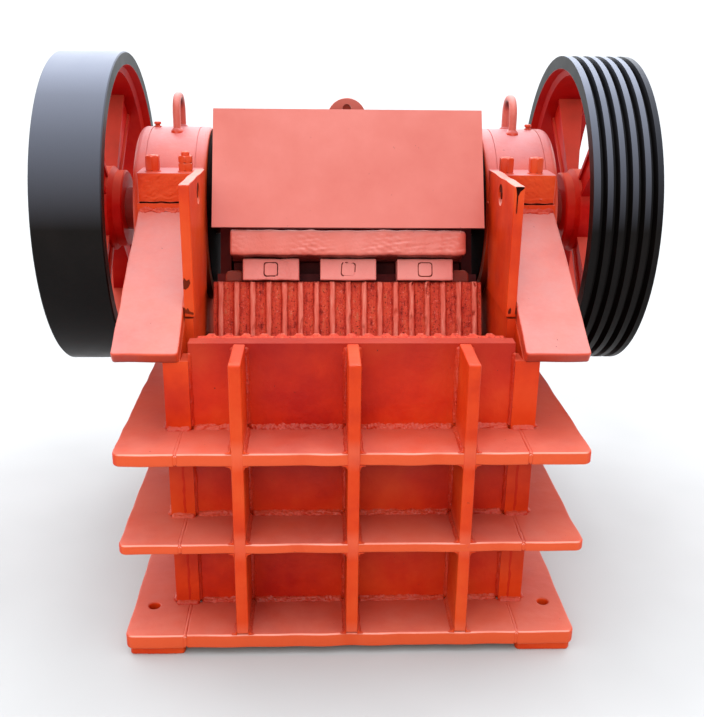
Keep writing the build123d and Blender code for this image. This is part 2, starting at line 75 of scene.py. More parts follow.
def put(name, data):
    """New object in the scene, left at the origin."""
    thing = bpy.data.objects.new(name, data)
    bpy.context.scene.collection.objects.link(thing)
    return thing


ahead = Vector((math.sin(YAW) * math.cos(TILT), math.cos(YAW) * math.cos(TILT), -math.sin(TILT)))
right = Vector((math.cos(YAW), -math.sin(YAW), 0.0))
up = right.cross(ahead)
right, up = math.cos(ROLL) * right + math.sin(ROLL) * up, -math.sin(ROLL) * right + math.cos(ROLL) * up
camera_data = bpy.data.cameras.new("camera")
camera_data.sensor_fit, camera_data.sensor_width = "HORIZONTAL", SENSOR_MM
camera_data.lens = LENS_PX * SENSOR_MM / WIDE_PX
camera = put("camera", camera_data)
camera.matrix_world = Matrix.Translation(EYE) @ Matrix((right, up, -ahead)).transposed().to_4x4()
bpy.context.scene.camera = camera
bpy.context.scene.view_settings.view_transform = "Standard"
print("lens", round(camera_data.lens, 2), "mm")

# %% [markdown]
# Paint colours are read as sRGB hex values. Blender mixes light in linear values, so one function turns them.
# A second small function adds a shader node with its settings and links, which keeps each material readable.

# %% Colours and nodes
def linear(colour):
    """sRGB hex to linear: c/12.92 below 0.04045, else ((c + 0.055) / 1.055) to the power 2.4. A number is a grey."""
    if isinstance(colour, (int, float)):
        return (colour, colour, colour, 1.0)
    c = np.array([int(colour[i:i + 2], 16) for i in (1, 3, 5)]) / 255.0
    return (*np.where(c <= 0.04045, c / 12.92, ((c + 0.055) / 1.055) ** 2.4).tolist(), 1.0)


def wire(node, values=(), links=()):
    """Set inputs to values, a hex code as its linear colour, and link others to a socket or a node's live output."""
    for key, value in dict(values).items():
        node.inputs[key].default_value = linear(value) if isinstance(value, str) else value
    for key, source in dict(links).items():
        if isinstance(source, bpy.types.Node):
            source = next(socket for socket in source.outputs if socket.enabled)
        node.id_data.links.new(source, node.inputs[key])


def add(tree, kind, values=(), links=(), ramp=(), **settings):
    """Add one shader node: settings are its own properties, and a ramp is pairs of place and colour."""
    new = tree.nodes.new("ShaderNode" + kind)
    for key, value in settings.items():
        setattr(new, key, value)
    wire(new, values, links)
    for i, (at, colour) in enumerate(ramp):
        stops = new.color_ramp.elements
        stop = stops[i] if i < len(stops) else stops.new(at)
        stop.position, stop.color = at, colour if isinstance(colour, tuple) else linear(colour)
    return new


print("orange-red in linear light", [round(c, 3) for c in linear("#D23C0E")])

# %% [markdown]
# Every finish starts alike: a shader, the place of a point on its solid, and the way its face looks, the last
# two also split in x, y, z. Object coordinates are used because they are the real size and stay on the piece
# when it moves. Patterns are given by their real size in mm.

# %% Start of a finish
def per_mm(size):
    """Noise scale for features of a size in mm, as Object coordinates are metres."""
    return 1000.0 / size


def start(name):
    """New material, the adder of its nodes, its shader, then place, and place and facing split in x, y, z."""
    material = bpy.data.materials.new(name)
    material.use_nodes = True
    material.node_tree.nodes.clear()
    node = partial(add, material.node_tree)
    shader = node("BsdfPrincipled")
    node("OutputMaterial", links={"Surface": shader})
    source = node("TexCoord").outputs
    place, facing = source["Object"], source["Normal"]
    print("finish", name)
    return material, node, shader, place, *(node("SeparateXYZ", links={0: way}).outputs for way in (place, facing))


# %% [markdown]
# The floor is plain studio floor paint: one large square that runs out of the picture. It is a middling grey
# that the strong light makes pale, so it throws less red-killing white back up than white paint would.

# %% Floor
FLOOR_HALF = 120.0
floor_mesh = bpy.data.meshes.new("floor")
floor_mesh.from_pydata([(x * FLOOR_HALF, y * FLOOR_HALF, 0) for x, y in ((-1, -1), (1, -1), (1, 1), (-1, 1))],
                       [], [(0, 1, 2, 3)])
floor = put("floor", floor_mesh)
floor_paint, node, shader, at, xyz, facing = start("pale floor paint")
speckle = node("TexNoise", {"Scale": per_mm(400), "Detail": 2.0}, {"Vector": at})
tone = node("ValToRGB", links={"Fac": speckle}, ramp=((0.3, "#B9B9B9"), (0.7, "#BEBEBE")))
wire(shader, {"Roughness": 0.95, "Specular IOR Level": 0.1}, {"Base Color": tone})
floor_mesh.materials.append(floor_paint)

# %% [markdown]
# A soft studio. Gloss enamel shows what is round it, and in the photograph the faces that look up are two or
# three times as bright as the upright ones, which is what turns them salmon. So the surround grows brighter
# towards the top and towards the rear, like a wide diffuser over the machine, a little warm where it is dim,
# and one warm light stands at the front.

# %% Lights
world = bpy.data.worlds.new("soft surround")
world.use_nodes = True
node = partial(add, world.node_tree)
direction = node("TexCoord").outputs["Generated"]
upward = node("VectorMath", {1: (0.0, 0.0, 1.0)}, {0: direction}, operation="DOT_PRODUCT")
rearward = node("VectorMath", {1: (0.0, 0.86, 0.5)}, {0: direction}, operation="DOT_PRODUCT")
over = node("MapRange", {"From Min": 0.05, "To Min": 0.42, "To Max": 2.3}, {"Value": upward})
behind = node("MapRange", {"From Min": 0.25, "To Max": 2.0}, {"Value": rearward})
brightness = node("Math", links={0: over, 1: behind}, operation="ADD")
tint = node("ValToRGB", links={"Fac": brightness}, ramp=((0.4, (1.0, 0.90, 0.80, 1.0)), (1.0, (0.93, 0.965, 1.0, 1.0))))
wire(world.node_tree.nodes["Background"], links={"Strength": brightness, "Color": tint})
bpy.context.scene.world = world

lamp = bpy.data.lights.new("front light", "AREA")
lamp.shape, lamp.size, lamp.energy, lamp.color = "SQUARE", 2.5, 50, (1.0, 0.84, 0.66)
front_light = put("front light", lamp)
front_light.location = (-1.0, -5.2, 2.4)
front_light.rotation_euler = (Vector((0, 0, 0.6)) - front_light.location).to_track_quat("-Z", "Y").to_euler()
print("front light", lamp.energy, "W, from", tuple(front_light.location))

# %% [markdown]
# Enamel brushed on hot-rolled plate. It is a dielectric with an IOR near 1.5 and a middling gloss. Three
# things keep it from looking like plastic: the coat is uneven, so its colour drifts over hand-sized patches;
# faces that look up turn salmon, partly from dust and partly from painted sheen of the bright light above;
# and the plate under it is never flat. Undersides are painted dark, which is painted shade, and small chips
# show the bare plate. Brush marks and orange peel are 1 to 2 mm on the real machine, finer than a pixel
# here, so the grain is drawn 3 to 9 mm wide.

# %% Orange-red enamel
PAINT = {"body": "#D23C0E", "thin": "#B8250A", "thick": "#DC5220", "pale": "#E8907E", "bare": "#3C1B14"}


def enamel(name, grain=4.0, grain_deep=0.25, wave=90.0, wave_deep=1.2, dust=0.45, gloss=0.40, shine=0.18,
           touch=None, **tones):
    """Orange-red paint over a surface whose grain and waves have real sizes in mm; dust is the amount of pale dust and
    painted sheen on faces that look up; tones change single colours.
    """
    tones = {**PAINT, **tones}
    material, node, shader, at, xyz, facing = start(name)
    patch = node("TexNoise", {"Scale": per_mm(260), "Detail": 5.0, "Roughness": 0.6}, {"Vector": at})
    coat = node("ValToRGB", links={"Fac": patch},
                ramp=((0.32, tones["thin"]), (0.5, tones["body"]), (0.72, tones["thick"])))
    drift = node("TexNoise", {"Scale": per_mm(120), "Detail": 6.0, "Roughness": 0.65}, {"Vector": at})
    # Faces that look up turn pale: dust, together with painted sheen of the bright light above.
    level = node("MapRange", {"From Min": 0.35, "From Max": 0.95, "To Max": dust}, {"Value": facing["Z"]})
    lies = node("MapRange", {"From Min": 0.3, "From Max": 0.65, "To Min": 0.55}, {"Value": drift})
    dust_and_top_light = node("Math", links={0: level, 1: lies}, operation="MULTIPLY")
    coat = node("Mix", {7: tones["pale"]}, {0: dust_and_top_light, 6: coat}, data_type="RGBA")
    # Faces that look down are painted dark: painted shade.
    below = node("MapRange", {"From Min": -0.25, "From Max": -0.7, "To Max": 0.85}, {"Value": facing["Z"]})
    coat = node("Mix", {7: "#4A0A0A"}, {0: below, 6: coat}, data_type="RGBA")
    coat = touch(node, xyz, facing, coat) if touch else coat
    fleck = node("TexNoise", {"Scale": per_mm(11), "Detail": 3.0, "Roughness": 0.7}, {"Vector": at})
    chip = node("MapRange", {"From Min": 0.735, "From Max": 0.75}, {"Value": fleck})
    coat = node("Mix", {7: tones["bare"]}, {0: chip, 6: coat}, data_type="RGBA")
    sheen = node("MapRange", {"From Min": 0.3, "From Max": 0.7, "To Min": gloss - 0.05, "To Max": gloss + 0.12},
                 {"Value": drift})
    waves = node("TexNoise", {"Scale": per_mm(wave), "Detail": 2.0}, {"Vector": at})
    peel = node("TexNoise", {"Scale": per_mm(grain), "Detail": 3.0, "Roughness": 0.55}, {"Vector": at})
    skin = node("Bump", {"Distance": wave_deep / 1000}, {"Height": waves})
    skin = node("Bump", {"Distance": grain_deep / 1000}, {"Height": peel, "Normal": skin})
    skin = node("Bump", {"Distance": 0.0006}, {"Height": chip, "Normal": skin}, invert=True)
    wire(shader, {"IOR": 1.5, "Specular IOR Level": shine}, {"Base Color": coat, "Roughness": sheen, "Normal": skin})
    return material


# %% [markdown]
# Some plates need a touch of their own, which is a function that changes the colour. A flange's top is painted
# darker towards the wall, which is painted shade, and a pale lip along its rounded front edge is a painted
# highlight. The walls and the side walls are painted dark under each flange, which is painted shade, and the
# ribs have pale runs where they meet a flange. These last three only follow the height above the floor.

# %% Touches of the brush, painted shade and painted highlights
def y_at(y):
    """Drawing y in mm to the y of Object coordinates."""
    return (y - MID_Y) / 1000


def flange_shade_and_highlight(node, xyz, facing, coat):
    """Flanges: painted shade towards the wall, fresh orange on the cut front edge, and a pale lip where that edge
    rounds over, which is a painted highlight.
    """
    # Painted shade: the tops grow darker towards the wall.
    deep = node("MapRange", {"From Min": y_at(10), "From Max": y_at(150)}, {"Value": xyz["Y"]})
    top = node("MapRange", {"From Min": 0.5, "From Max": 0.9, "To Max": 0.42}, {"Value": facing["Z"]})
    shade = node("Math", links={0: deep, 1: top}, operation="MULTIPLY")
    coat = node("Mix", {7: "#A82A0C"}, {0: shade, 6: coat}, data_type="RGBA")
    edge = node("MapRange", {"From Min": y_at(8), "From Max": y_at(4)}, {"Value": xyz["Y"]})
    coat = node("Mix", {7: "#D9542C"}, {0: edge, 6: coat}, data_type="RGBA")
    # Painted highlight: a pale lip where the front edge rounds over.
    rounding = node("ValToRGB", links={"Fac": facing["Z"]}, ramp=((0.12, 0), (0.4, 1), (0.9, 1), (0.995, 0)))
    lip = node("Math", links={0: rounding, 1: edge}, operation="MULTIPLY")
    return node("Mix", {7: "#F29A8A"}, {0: lip, 6: coat}, data_type="RGBA")


def by_height(colour, *steps):
    """Touch that mixes in a colour by the height above the floor: steps are (mm, amount)."""
    def touch(node, xyz, facing, coat):
        amount = node("ValToRGB", links={"Fac": xyz["Z"]}, ramp=[(z / 1000, level) for z, level in steps])
        return node("Mix", {7: colour}, {0: amount, 6: coat}, data_type="RGBA")
    return touch


# Painted shade: darker just under each flange, on the walls and on the side walls.
painted_shade_under_flanges = by_height("#7E0C10", (58, 0), (180, 0.15), (271, 0.45), (309, 0), (410, 0.35), (511, 0.85),
                          (543, 0), (640, 0.1), (758, 0.5))
painted_shade_on_columns = by_height("#9E1408", (120, 0), (271, 0.5), (309, 0), (430, 0.2), (511, 0.6), (543, 0))
rib_roots = by_height("#EE7A5A", (0, 0), (28, 0.2), (58, 0.3), (70, 0.3), (95, 0), (262, 0), (281, 0.2),
                      (309, 0.35), (318, 0.35), (345, 0), (496, 0), (515, 0.2), (543, 0.35), (552, 0.35), (580, 0))

# %% [markdown]
# One enamel, many surfaces. Hot-rolled plate is fine-grained with long waves. The frame's plates differ only in
# how the brush and the dust went over them, so each has the same paint with its own numbers for grain, waves,
# dust, roughness and gloss. A finish per kind of plate keeps this readable, where one big finish that asks
# every face what it is would not be.

# %% Enamel on the plates
# Even orange-red with faint waves: the plain plates behind and below.
plate_enamel = enamel("orange-red enamel brushed on hot-rolled plate", dust=0.2)
# Thin paint in broad brush marks, with crimson painted shade under each flange: the walls look deeper than the flanges.
wall_enamel = enamel("orange-red enamel, thin and crimson, on the upright walls", grain=9.0, grain_deep=0.9,
                     wave=45.0, wave_deep=1.6, dust=0.3, gloss=0.44, shine=0.2, touch=painted_shade_under_flanges,
                     body="#CE300E", thin="#B01A0C", thick="#DE4C1C")
# Clean orange faces, with pale dust and painted sheen only on the top edges.
guard_enamel = enamel("orange-red enamel on the guard plates, pale dust on top", dust=0.82, pale="#E0A498")
# The side walls are painted darker towards the underside of each flange, which is painted shade.
column_enamel = enamel("orange-red enamel on the side walls", dust=0.2, touch=painted_shade_on_columns)
# Pale runs of thick paint where a rib stands on a flange.
rib_enamel = enamel("orange-red enamel on the front ribs", dust=0.2, touch=rib_roots)
# Salmon dust and painted sheen on top, painted shade towards the wall, a fresh orange cut edge and a pale rounded lip
# that is a painted highlight.
flange_enamel = enamel("orange-red enamel, dusty, on the flanges", wave=50.0, wave_deep=1.6, dust=0.6,
                       touch=flange_shade_and_highlight, pale="#DA8474")
# The arms lean towards the light and carry the most pale dust and painted sheen, over a wavy, uneven face.
arm_enamel = enamel("orange-red enamel on the sloping arms", grain=9.0, grain_deep=0.5, wave=55.0,
                    wave_deep=2.6, dust=0.82, gloss=0.34, shine=0.45, body="#D24A30", pale="#C28682")

# %% [markdown]
# Castings keep the grain of their sand, thin sheet is smooth, and a torch leaves a coarse edge with short, deep
# waves. The sheet and the cut lumps on the jaw were painted in a paler salmon. Dirt and rust are the same paint
# with other colours, because they lie in its chips and film rather than on a surface of their own.

# %% Enamel on castings, sheet, cut edges and welds
SALMON = {"body": "#CE685B", "thin": "#C85E50", "thick": "#D6756A", "pale": "#E8A8A4"}
# Sand grain, drawn coarse at 7 mm, and pinkish dust with painted sheen: the housings look soft and pale.
cast_enamel = enamel("orange-red enamel on sand-cast steel", grain=7.0, grain_deep=0.6, wave=60.0,
                     wave_deep=0.8, dust=0.75, shine=0.4, pale="#CC989E")
# Sprayed, so nearly without grain: the cover is the smoothest and palest face.
sheet_enamel = enamel("orange-red enamel sprayed on thin sheet", grain=3.0, grain_deep=0.08, wave=220.0,
                      wave_deep=1.0, dust=0.4, gloss=0.34, shine=0.5, **SALMON)
# Nuts and plugs are small and turned, so their highlights are tight.
bolt_enamel = enamel("orange-red enamel on turned fasteners", grain=3.0, grain_deep=0.3, wave=20.0,
                     wave_deep=0.3, dust=0.35, shine=0.45)
# Rough orange with pale dust in the dents: pads and hammered lugs.
torch_orange = enamel("orange-red enamel on a rough torch-cut edge", grain=7.0, grain_deep=1.0, wave=22.0,
                      wave_deep=1.5, dust=0.6, pale="#F0B4A8")
# The same roughness under salmon paint: the ledge bar and the loops.
torch_enamel = enamel("orange-red enamel on torch-cut steel", grain=6.0, grain_deep=1.1, wave=26.0,
                      wave_deep=2.0, dust=0.6, shine=0.5, **{**SALMON, "body": "#D66C5E", "thin": "#C45546"})
# The wedge blocks are paler still, rubbed and dusty.
block_enamel = enamel("orange-red enamel, dusty, on torch-cut blocks", grain=6.0, grain_deep=0.8, wave=30.0,
                      wave_deep=1.4, dust=0.6, gloss=0.42, shine=0.5,
                      **{**SALMON, "body": "#EE8880", "thin": "#E0746C", "thick": "#F29890"})
# Weld beads take thick, dark red paint that glints on each ripple.
weld_enamel = enamel("orange-red enamel over weld metal", grain=3.5, grain_deep=0.9, wave=12.0, wave_deep=1.0,
                     dust=0.22, gloss=0.34, shine=0.35, body="#C2321A", thin="#A8220F", thick="#D04E30",
                     pale="#E08468")
# The jaw casting is painted nearly black, which is painted shade, and brown where dust sticks to it.
shade_black_jaw_enamel = enamel("orange-red enamel under oil and stone dust", grain=8.0, grain_deep=0.8, wave=60.0,
                      dust=0.2, gloss=0.55, shine=0.15, body="#4E0E14", thin="#2C070E", thick="#76201C",
                      pale="#A8584E")
# Beside the blocks the paint is worn through to brown casting skin.
shoulder_enamel = enamel("worn orange-red enamel over brown casting skin", grain=6.0, grain_deep=0.9, wave=25.0,
                         wave_deep=1.5, dust=0.4, shine=0.25, body="#8E3022", thin="#5E1A14", thick="#A84632",
                         pale="#B4685A")
# Rust is dull, dark and crumbly, and the same brown is the painted shadow in the guards' holes.
rust_and_shadow_brown = enamel("brown rust in chipped enamel", grain=3.0, grain_deep=0.8, wave=12.0, dust=0.0, gloss=0.7,
                    shine=0.1, body="#54160A", thin="#30100A", thick="#7A2A10")
# Paint that runs thin into a groove shows a darker, redder line.
seam_enamel = enamel("thin dark enamel in a groove", grain=5.0, grain_deep=0.2, wave=40.0, wave_deep=0.2,
                     dust=0.0, shine=0.1, body="#C02A12", thin="#A81E10", thick="#CC3416")

# %% [markdown]
# Old grease fills the joints. It holds black dust, so it is nearly black, dull and a little lumpy, and it hides
# whatever lies under it. The same finish is the painted shade on the inner faces of the housings. A small finish
# of its own is simpler than enamel with every colour changed.

# %% Old grease, also painted shade
shadow_grime, node, shader, at, xyz, facing = start("old grease and dirt in a joint, also painted shade")
clot = node("TexNoise", {"Scale": per_mm(8), "Detail": 4.0}, {"Vector": at})
tone = node("ValToRGB", links={"Fac": clot}, ramp=((0.35, "#0E0303"), (0.7, "#300A06")))
lump = node("Bump", {"Distance": 0.0006}, {"Height": clot})
wire(shader, {"Roughness": 0.8, "Specular IOR Level": 0.05}, {"Base Color": tone, "Normal": lump})

# %% [markdown]
# Wheels. The rims are turned and painted a dark blue-grey, and everything inside them is crimson. Both paints
# sit on one casting, so one material chooses by the distance from the shaft: outside 411 mm it is grey. A
# little noise on that distance makes the hand-painted border. The crimson is painted darker where a face looks
# down, which is painted shade, and paler where it looks up, which is painted light.

# %% Wheel paint inside the rims
SHAFT_Y, SHAFT_Z, RIM_BORDER = 881.0, 942.0, 0.4113

wheel_paint, node, shader, at, xyz, facing = start("blue-grey and orange-red enamel on turned cast iron")
centred = node("Mapping", {"Location": (0.0, -y_at(SHAFT_Y), -SHAFT_Z / 1000)}, {"Vector": at})
flat = node("VectorMath", {1: (0.0, 1.0, 1.0)}, {0: centred}, operation="MULTIPLY")
radius = node("VectorMath", links={0: flat}, operation="LENGTH")
wobble = node("TexNoise", {"Scale": per_mm(30), "Detail": 3.0}, {"Vector": at})
shake = node("MapRange", {"To Min": -0.0012, "To Max": 0.0012}, {"Value": wobble})
edge = node("Math", links={0: radius, 1: shake}, operation="ADD")
outside = node("MapRange", {"From Min": RIM_BORDER - 0.0002, "From Max": RIM_BORDER + 0.0004}, {"Value": edge})
patch = node("TexNoise", {"Scale": per_mm(140), "Detail": 6.0, "Roughness": 0.65}, {"Vector": at})
red = node("ValToRGB", links={"Fac": patch}, ramp=((0.3, "#9A0A0A"), (0.5, "#BC1610"), (0.7, "#CC2C18")))
# Painted shade on faces that look down, painted light on faces that look up.
hollow = node("MapRange", {"From Max": -0.7, "To Max": 0.6}, {"Value": facing["Z"]})
red = node("Mix", {7: "#8A060A"}, {0: hollow, 6: red}, data_type="RGBA")
upper = node("MapRange", {"From Min": 0.25, "From Max": 0.95, "To Max": 0.8}, {"Value": facing["Z"]})
red = node("Mix", {7: "#D4604C"}, {0: upper, 6: red}, data_type="RGBA")

# %% [markdown]
# The blue-grey rim is mixed towards a pale grey-blue wherever a face looks up, by a ramp on the normal: this is
# painted light from above. In the pulley's grooves it is cut to about a tenth, which is painted shade, and it is
# cut to a quarter on the pulley's last land. The lathe left fine lines round the rim and the sand a grain
# inside it. Real turning lines are about 0.3 mm apart, too fine to show, so they are drawn 1.6 mm apart.

# %% Wheel paint on the rims
dark = node("ValToRGB", links={"Fac": patch}, ramp=((0.3, "#0B0808"), (0.5, "#0F0C0B"), (0.72, "#151110")))
# Painted shade: less of the painted top light in the pulley's grooves.
groove_shade = node("MapRange", {"From Min": 0.434, "From Max": 0.443, "To Min": 0.12}, {"Value": radius})
flank = node("Math", links={0: facing["X"]}, operation="ABSOLUTE")
ring = node("Math", {1: 0.99}, {0: flank}, operation="GREATER_THAN")
kept = node("Math", links={0: groove_shade, 1: ring}, operation="MAXIMUM")
last_land = node("MapRange", {"From Min": 0.793, "From Max": 0.797, "To Min": 1.0, "To Max": 0.25}, {"Value": xyz["X"]})
kept = node("Math", links={0: kept, 1: last_land}, operation="MULTIPLY")
# Painted light: the rim grows paler as its face looks up.
level = node("ValToRGB", links={"Fac": facing["Z"]},
             ramp=((0.05, 0.0), (0.31, 0.19), (0.56, 0.37), (0.77, 0.57), (0.9, 0.86), (1.0, 0.94)))
dust_and_top_light = node("Math", links={0: level, 1: kept}, operation="MULTIPLY")
dusty = node("Mix", {7: "#8E94A6"}, {0: dust_and_top_light, 6: dark}, data_type="RGBA")
colour = node("Mix", links={0: outside, 6: red, 7: dusty}, data_type="RGBA")
sheen = node("MapRange", {"From Min": 0.3, "From Max": 0.7, "To Min": 0.34, "To Max": 0.46}, {"Value": patch})
lines = node("TexNoise", {"Scale": per_mm(1.6), "Detail": 2.0}, {"W": xyz["X"]}, noise_dimensions="1D")
cast = node("TexNoise", {"Scale": per_mm(9), "Detail": 4.0}, {"Vector": at})
skin = node("Mix", links={0: outside, 2: cast, 3: lines}, data_type="FLOAT")
bump = node("Bump", {"Distance": 0.0003, "Strength": 0.7}, {"Height": skin})
wire(shader, {"IOR": 1.5, "Specular IOR Level": 0.1}, {"Base Color": colour, "Roughness": sheen, "Normal": bump})

# %% [markdown]
# Bare steel stays on the shaft ends, the tension rod and its spring. It is metal, so it keeps the default IOR.
# Oil and dust dull it, so the roughness is middling and drifts. Between the bearings the shaft is painted nearly
# black, which is painted shade, and beside the wheel hubs it caught red paint, so its finish changes with the
# distance from the middle of the machine. Its machining marks are drawn 2 mm wide, coarser than real, so that
# they show.

# %% Bare steel
bare_steel, node, shader, at, xyz, facing = start("oiled machined steel")
smear = node("TexNoise", {"Scale": per_mm(45), "Detail": 5.0}, {"Vector": at})
tone = node("ValToRGB", links={"Fac": smear}, ramp=((0.35, "#5C5752"), (0.6, "#8A8680"), (0.75, "#6B4A38")))
dull = node("MapRange", {"To Min": 0.28, "To Max": 0.6}, {"Value": smear})
turning = node("TexNoise", {"Scale": per_mm(2.0), "Detail": 2.0}, {"Vector": at})
marks = node("Bump", {"Distance": 0.0001}, {"Height": turning})
from_middle = node("Math", links={0: xyz["X"]}, operation="ABSOLUTE")
red = node("MapRange", {"From Min": 0.585, "From Max": 0.59}, {"Value": from_middle})
# Painted shade: near black between the bearings; red overspray beside the hubs.
shade_and_overspray = node("Mix", {6: "#120808", 7: "#8E1E12"}, {0: red}, data_type="RGBA")
clean = node("MapRange", {"From Min": 0.66, "From Max": 0.68}, {"Value": from_middle})
clean_rod = node("MapRange", {"From Min": 0.40, "From Max": 0.42}, {"Value": xyz["Y"]})
bare = node("Math", links={0: clean, 1: clean_rod}, operation="MAXIMUM")
shown = node("Mix", links={0: bare, 6: shade_and_overspray, 7: tone}, data_type="RGBA")
wire(shader, links={"Base Color": shown, "Roughness": dull, "Normal": marks, "Metallic": bare})

# %% [markdown]
# The jaw plates are cast manganese steel. The enamel was only wiped over the crests of the ridges, so the
# valleys stay brown-red and rough. The top is painted dark, most in the valleys, which is painted shadow under
# the blocks. The fixed plate keeps its solid, and its crests point to the rear: the material finds them by
# depth. The moving plate is a new surface that carries its own height value.

# %% Jaw plate finish
def jaw_finish(name, crest, top):
    """Rough brown-red casting; crest gives 0 in the valleys to 1 on the crests, and top is the height of the painted
    shadow at the top edge.
    """
    material, node, shader, at, xyz, facing = start(name)
    coarse = node("TexNoise", {"Scale": per_mm(16), "Detail": 6.0, "Roughness": 0.7}, {"Vector": at})
    tall = node("Mapping", {"Scale": (1.0, 0.12, 0.12)}, {"Vector": at})
    streak = node("TexNoise", {"Scale": per_mm(9), "Detail": 5.0, "Roughness": 0.7}, {"Vector": tall})
    blend = node("Mix", {0: 0.55}, {2: coarse, 3: streak}, data_type="FLOAT")
    base = node("ValToRGB", links={"Fac": blend},
                ramp=((0.38, "#8A2018"), (0.46, "#CC4232"), (0.56, "#DC5238"), (0.66, "#C47254")))
    pits = node("TexNoise", {"Scale": per_mm(5), "Detail": 3.0, "Roughness": 0.6}, {"Vector": at})
    specks = node("ValToRGB", links={"Fac": pits}, ramp=((0.34, 1), (0.40, 0), (0.62, 0), (0.70, 0.8)))
    tint = node("ValToRGB", links={"Fac": pits}, ramp=((0.45, "#5A120E"), (0.55, "#E89080")))
    valley = node("Mix", links={0: specks, 6: base, 7: tint}, data_type="RGBA")
    paint = node("ValToRGB", links={"Fac": streak}, ramp=((0.3, "#D4503C"), (0.5, "#E26C5A"), (0.7, "#EE907E")))
    rub = node("MapRange", {"From Min": 0.3, "From Max": 0.7, "To Min": -0.1, "To Max": 0.1}, {"Value": coarse})
    worn = node("Math", links={0: crest(node, xyz), 1: rub}, operation="ADD")
    cover = node("MapRange", {"From Min": 0.72, "From Max": 0.9}, {"Value": worn})
    colour = node("Mix", links={0: cover, 6: valley, 7: paint}, data_type="RGBA")
    # Painted shadow under the blocks: dark within 16 mm of the top, most in the valleys.
    oil = node("MapRange", {"From Min": (top - 16) / 1000, "From Max": top / 1000}, {"Value": xyz["Z"]})
    valley_shadow = node("MapRange", {"To Min": 0.92, "To Max": 0.25}, {"Value": cover})
    amount = node("Math", links={0: oil, 1: valley_shadow}, operation="MULTIPLY")
    colour = node("Mix", {7: "#2E0806"}, {0: amount, 6: colour}, data_type="RGBA")
    gloss = node("MapRange", {"To Min": 0.72, "To Max": 0.42}, {"Value": cover})
    sand = node("Bump", {"Distance": 0.0016, "Strength": 0.9}, {"Height": coarse})
    wire(shader, {"Specular IOR Level": 0.2}, {"Base Color": colour, "Roughness": gloss, "Normal": sand})
    return material


def crest_by_depth(node, xyz):
    """0 in the fixed plate's valleys to 1 on its crests, from the depth behind the front wall."""
    return node("MapRange", {"From Min": y_at(233), "From Max": y_at(251)}, {"Value": xyz["Y"]})


def crest_by_value(node, xyz):
    """The height value stored on the moving plate's own vertices."""
    return node("Attribute", attribute_name="crest").outputs["Fac"]


fixed_jaw_steel = jaw_finish("cast manganese steel, fixed plate", crest_by_depth, 900.0)
moving_jaw_steel = jaw_finish("cast manganese steel, moving plate", crest_by_value, 822.0)

# %% [markdown]
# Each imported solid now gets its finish. Nothing about its shape changes, only the material in its slots.

# %% Finishes on the solids
FINISHES = {
    wall_enamel: "front_wall",
    column_enamel: "side_wall_left side_wall_right",
    cast_enamel: "bearing_housing_left bearing_housing_right",
    shade_black_jaw_enamel: "swing_jaw",
    sheet_enamel: "cover_plate lifting_lug",
    torch_enamel: "ledge_bar wedge_block_left wedge_block_centre wedge_block_right "
                  "lifting_loop_left lifting_loop_right",
    wheel_paint: "flywheel drive_pulley",
    bare_steel: "eccentric_shaft tension_rod tension_spring",
    fixed_jaw_steel: "fixed_jaw_plate",
}
finish_of = {name: finish for finish, names in FINISHES.items() for name in names.split()}
for node_name, thing in nodes.items():
    for slot in thing.material_slots:
        slot.material = finish_of.get(node_name, plate_enamel)
print("finished solids", len(nodes))

# %% [markdown]
# New pieces are grids of points, because a profile carried along a path is one. A grid may close on itself in
# either direction. The signed volume of a closed grid says which way its faces look.

# %% Faces of a grid
def grid_faces(rows, cols, close_rows, close_cols):
    """Index of the four corners of each quad of a rows by cols grid, wrapping round where it closes."""
    i = np.arange(rows if close_rows else rows - 1)
    j = np.arange(cols if close_cols else cols - 1)
    i, j = (a.ravel() for a in np.meshgrid(i, j, indexing="ij"))
    i2, j2 = (i + 1) % rows, (j + 1) % cols
    return np.stack([i * cols + j, i2 * cols + j, i2 * cols + j2, i * cols + j2], 1)


def signed_volume(points, quads):
    """Sum of the tetrahedra from the middle to each half of every quad: positive when faces look outwards."""
    a, b, c, d = (points[quads[:, k]] - points.mean(0) for k in range(4))
    return float((np.einsum("ij,ij->i", a, np.cross(b, c)) + np.einsum("ij,ij->i", a, np.cross(c, d))).sum())


print("faces of a closed strip of 3 by 4 points:", len(grid_faces(3, 4, False, True)))

# %% [markdown]
# One function turns any number of grids into one mesh. Its faces are turned outwards, and its open ends are
# capped. The mesh is filled from whole arrays, which is fast, and each edge sharper than an angle stays crisp.

# %% Grids to a piece
def dress(name, mesh, material, body, sharp):
    """Mesh to piece: smooth up to an angle of sharp degrees, with its finish, and riding on its body."""
    mesh.shade_smooth()
    mesh.set_sharp_from_angle(angle=math.radians(sharp))
    mesh.materials.append(material)
    piece = put(name, mesh)
    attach(piece, body)
    print(name, len(mesh.vertices), "points")
    return piece


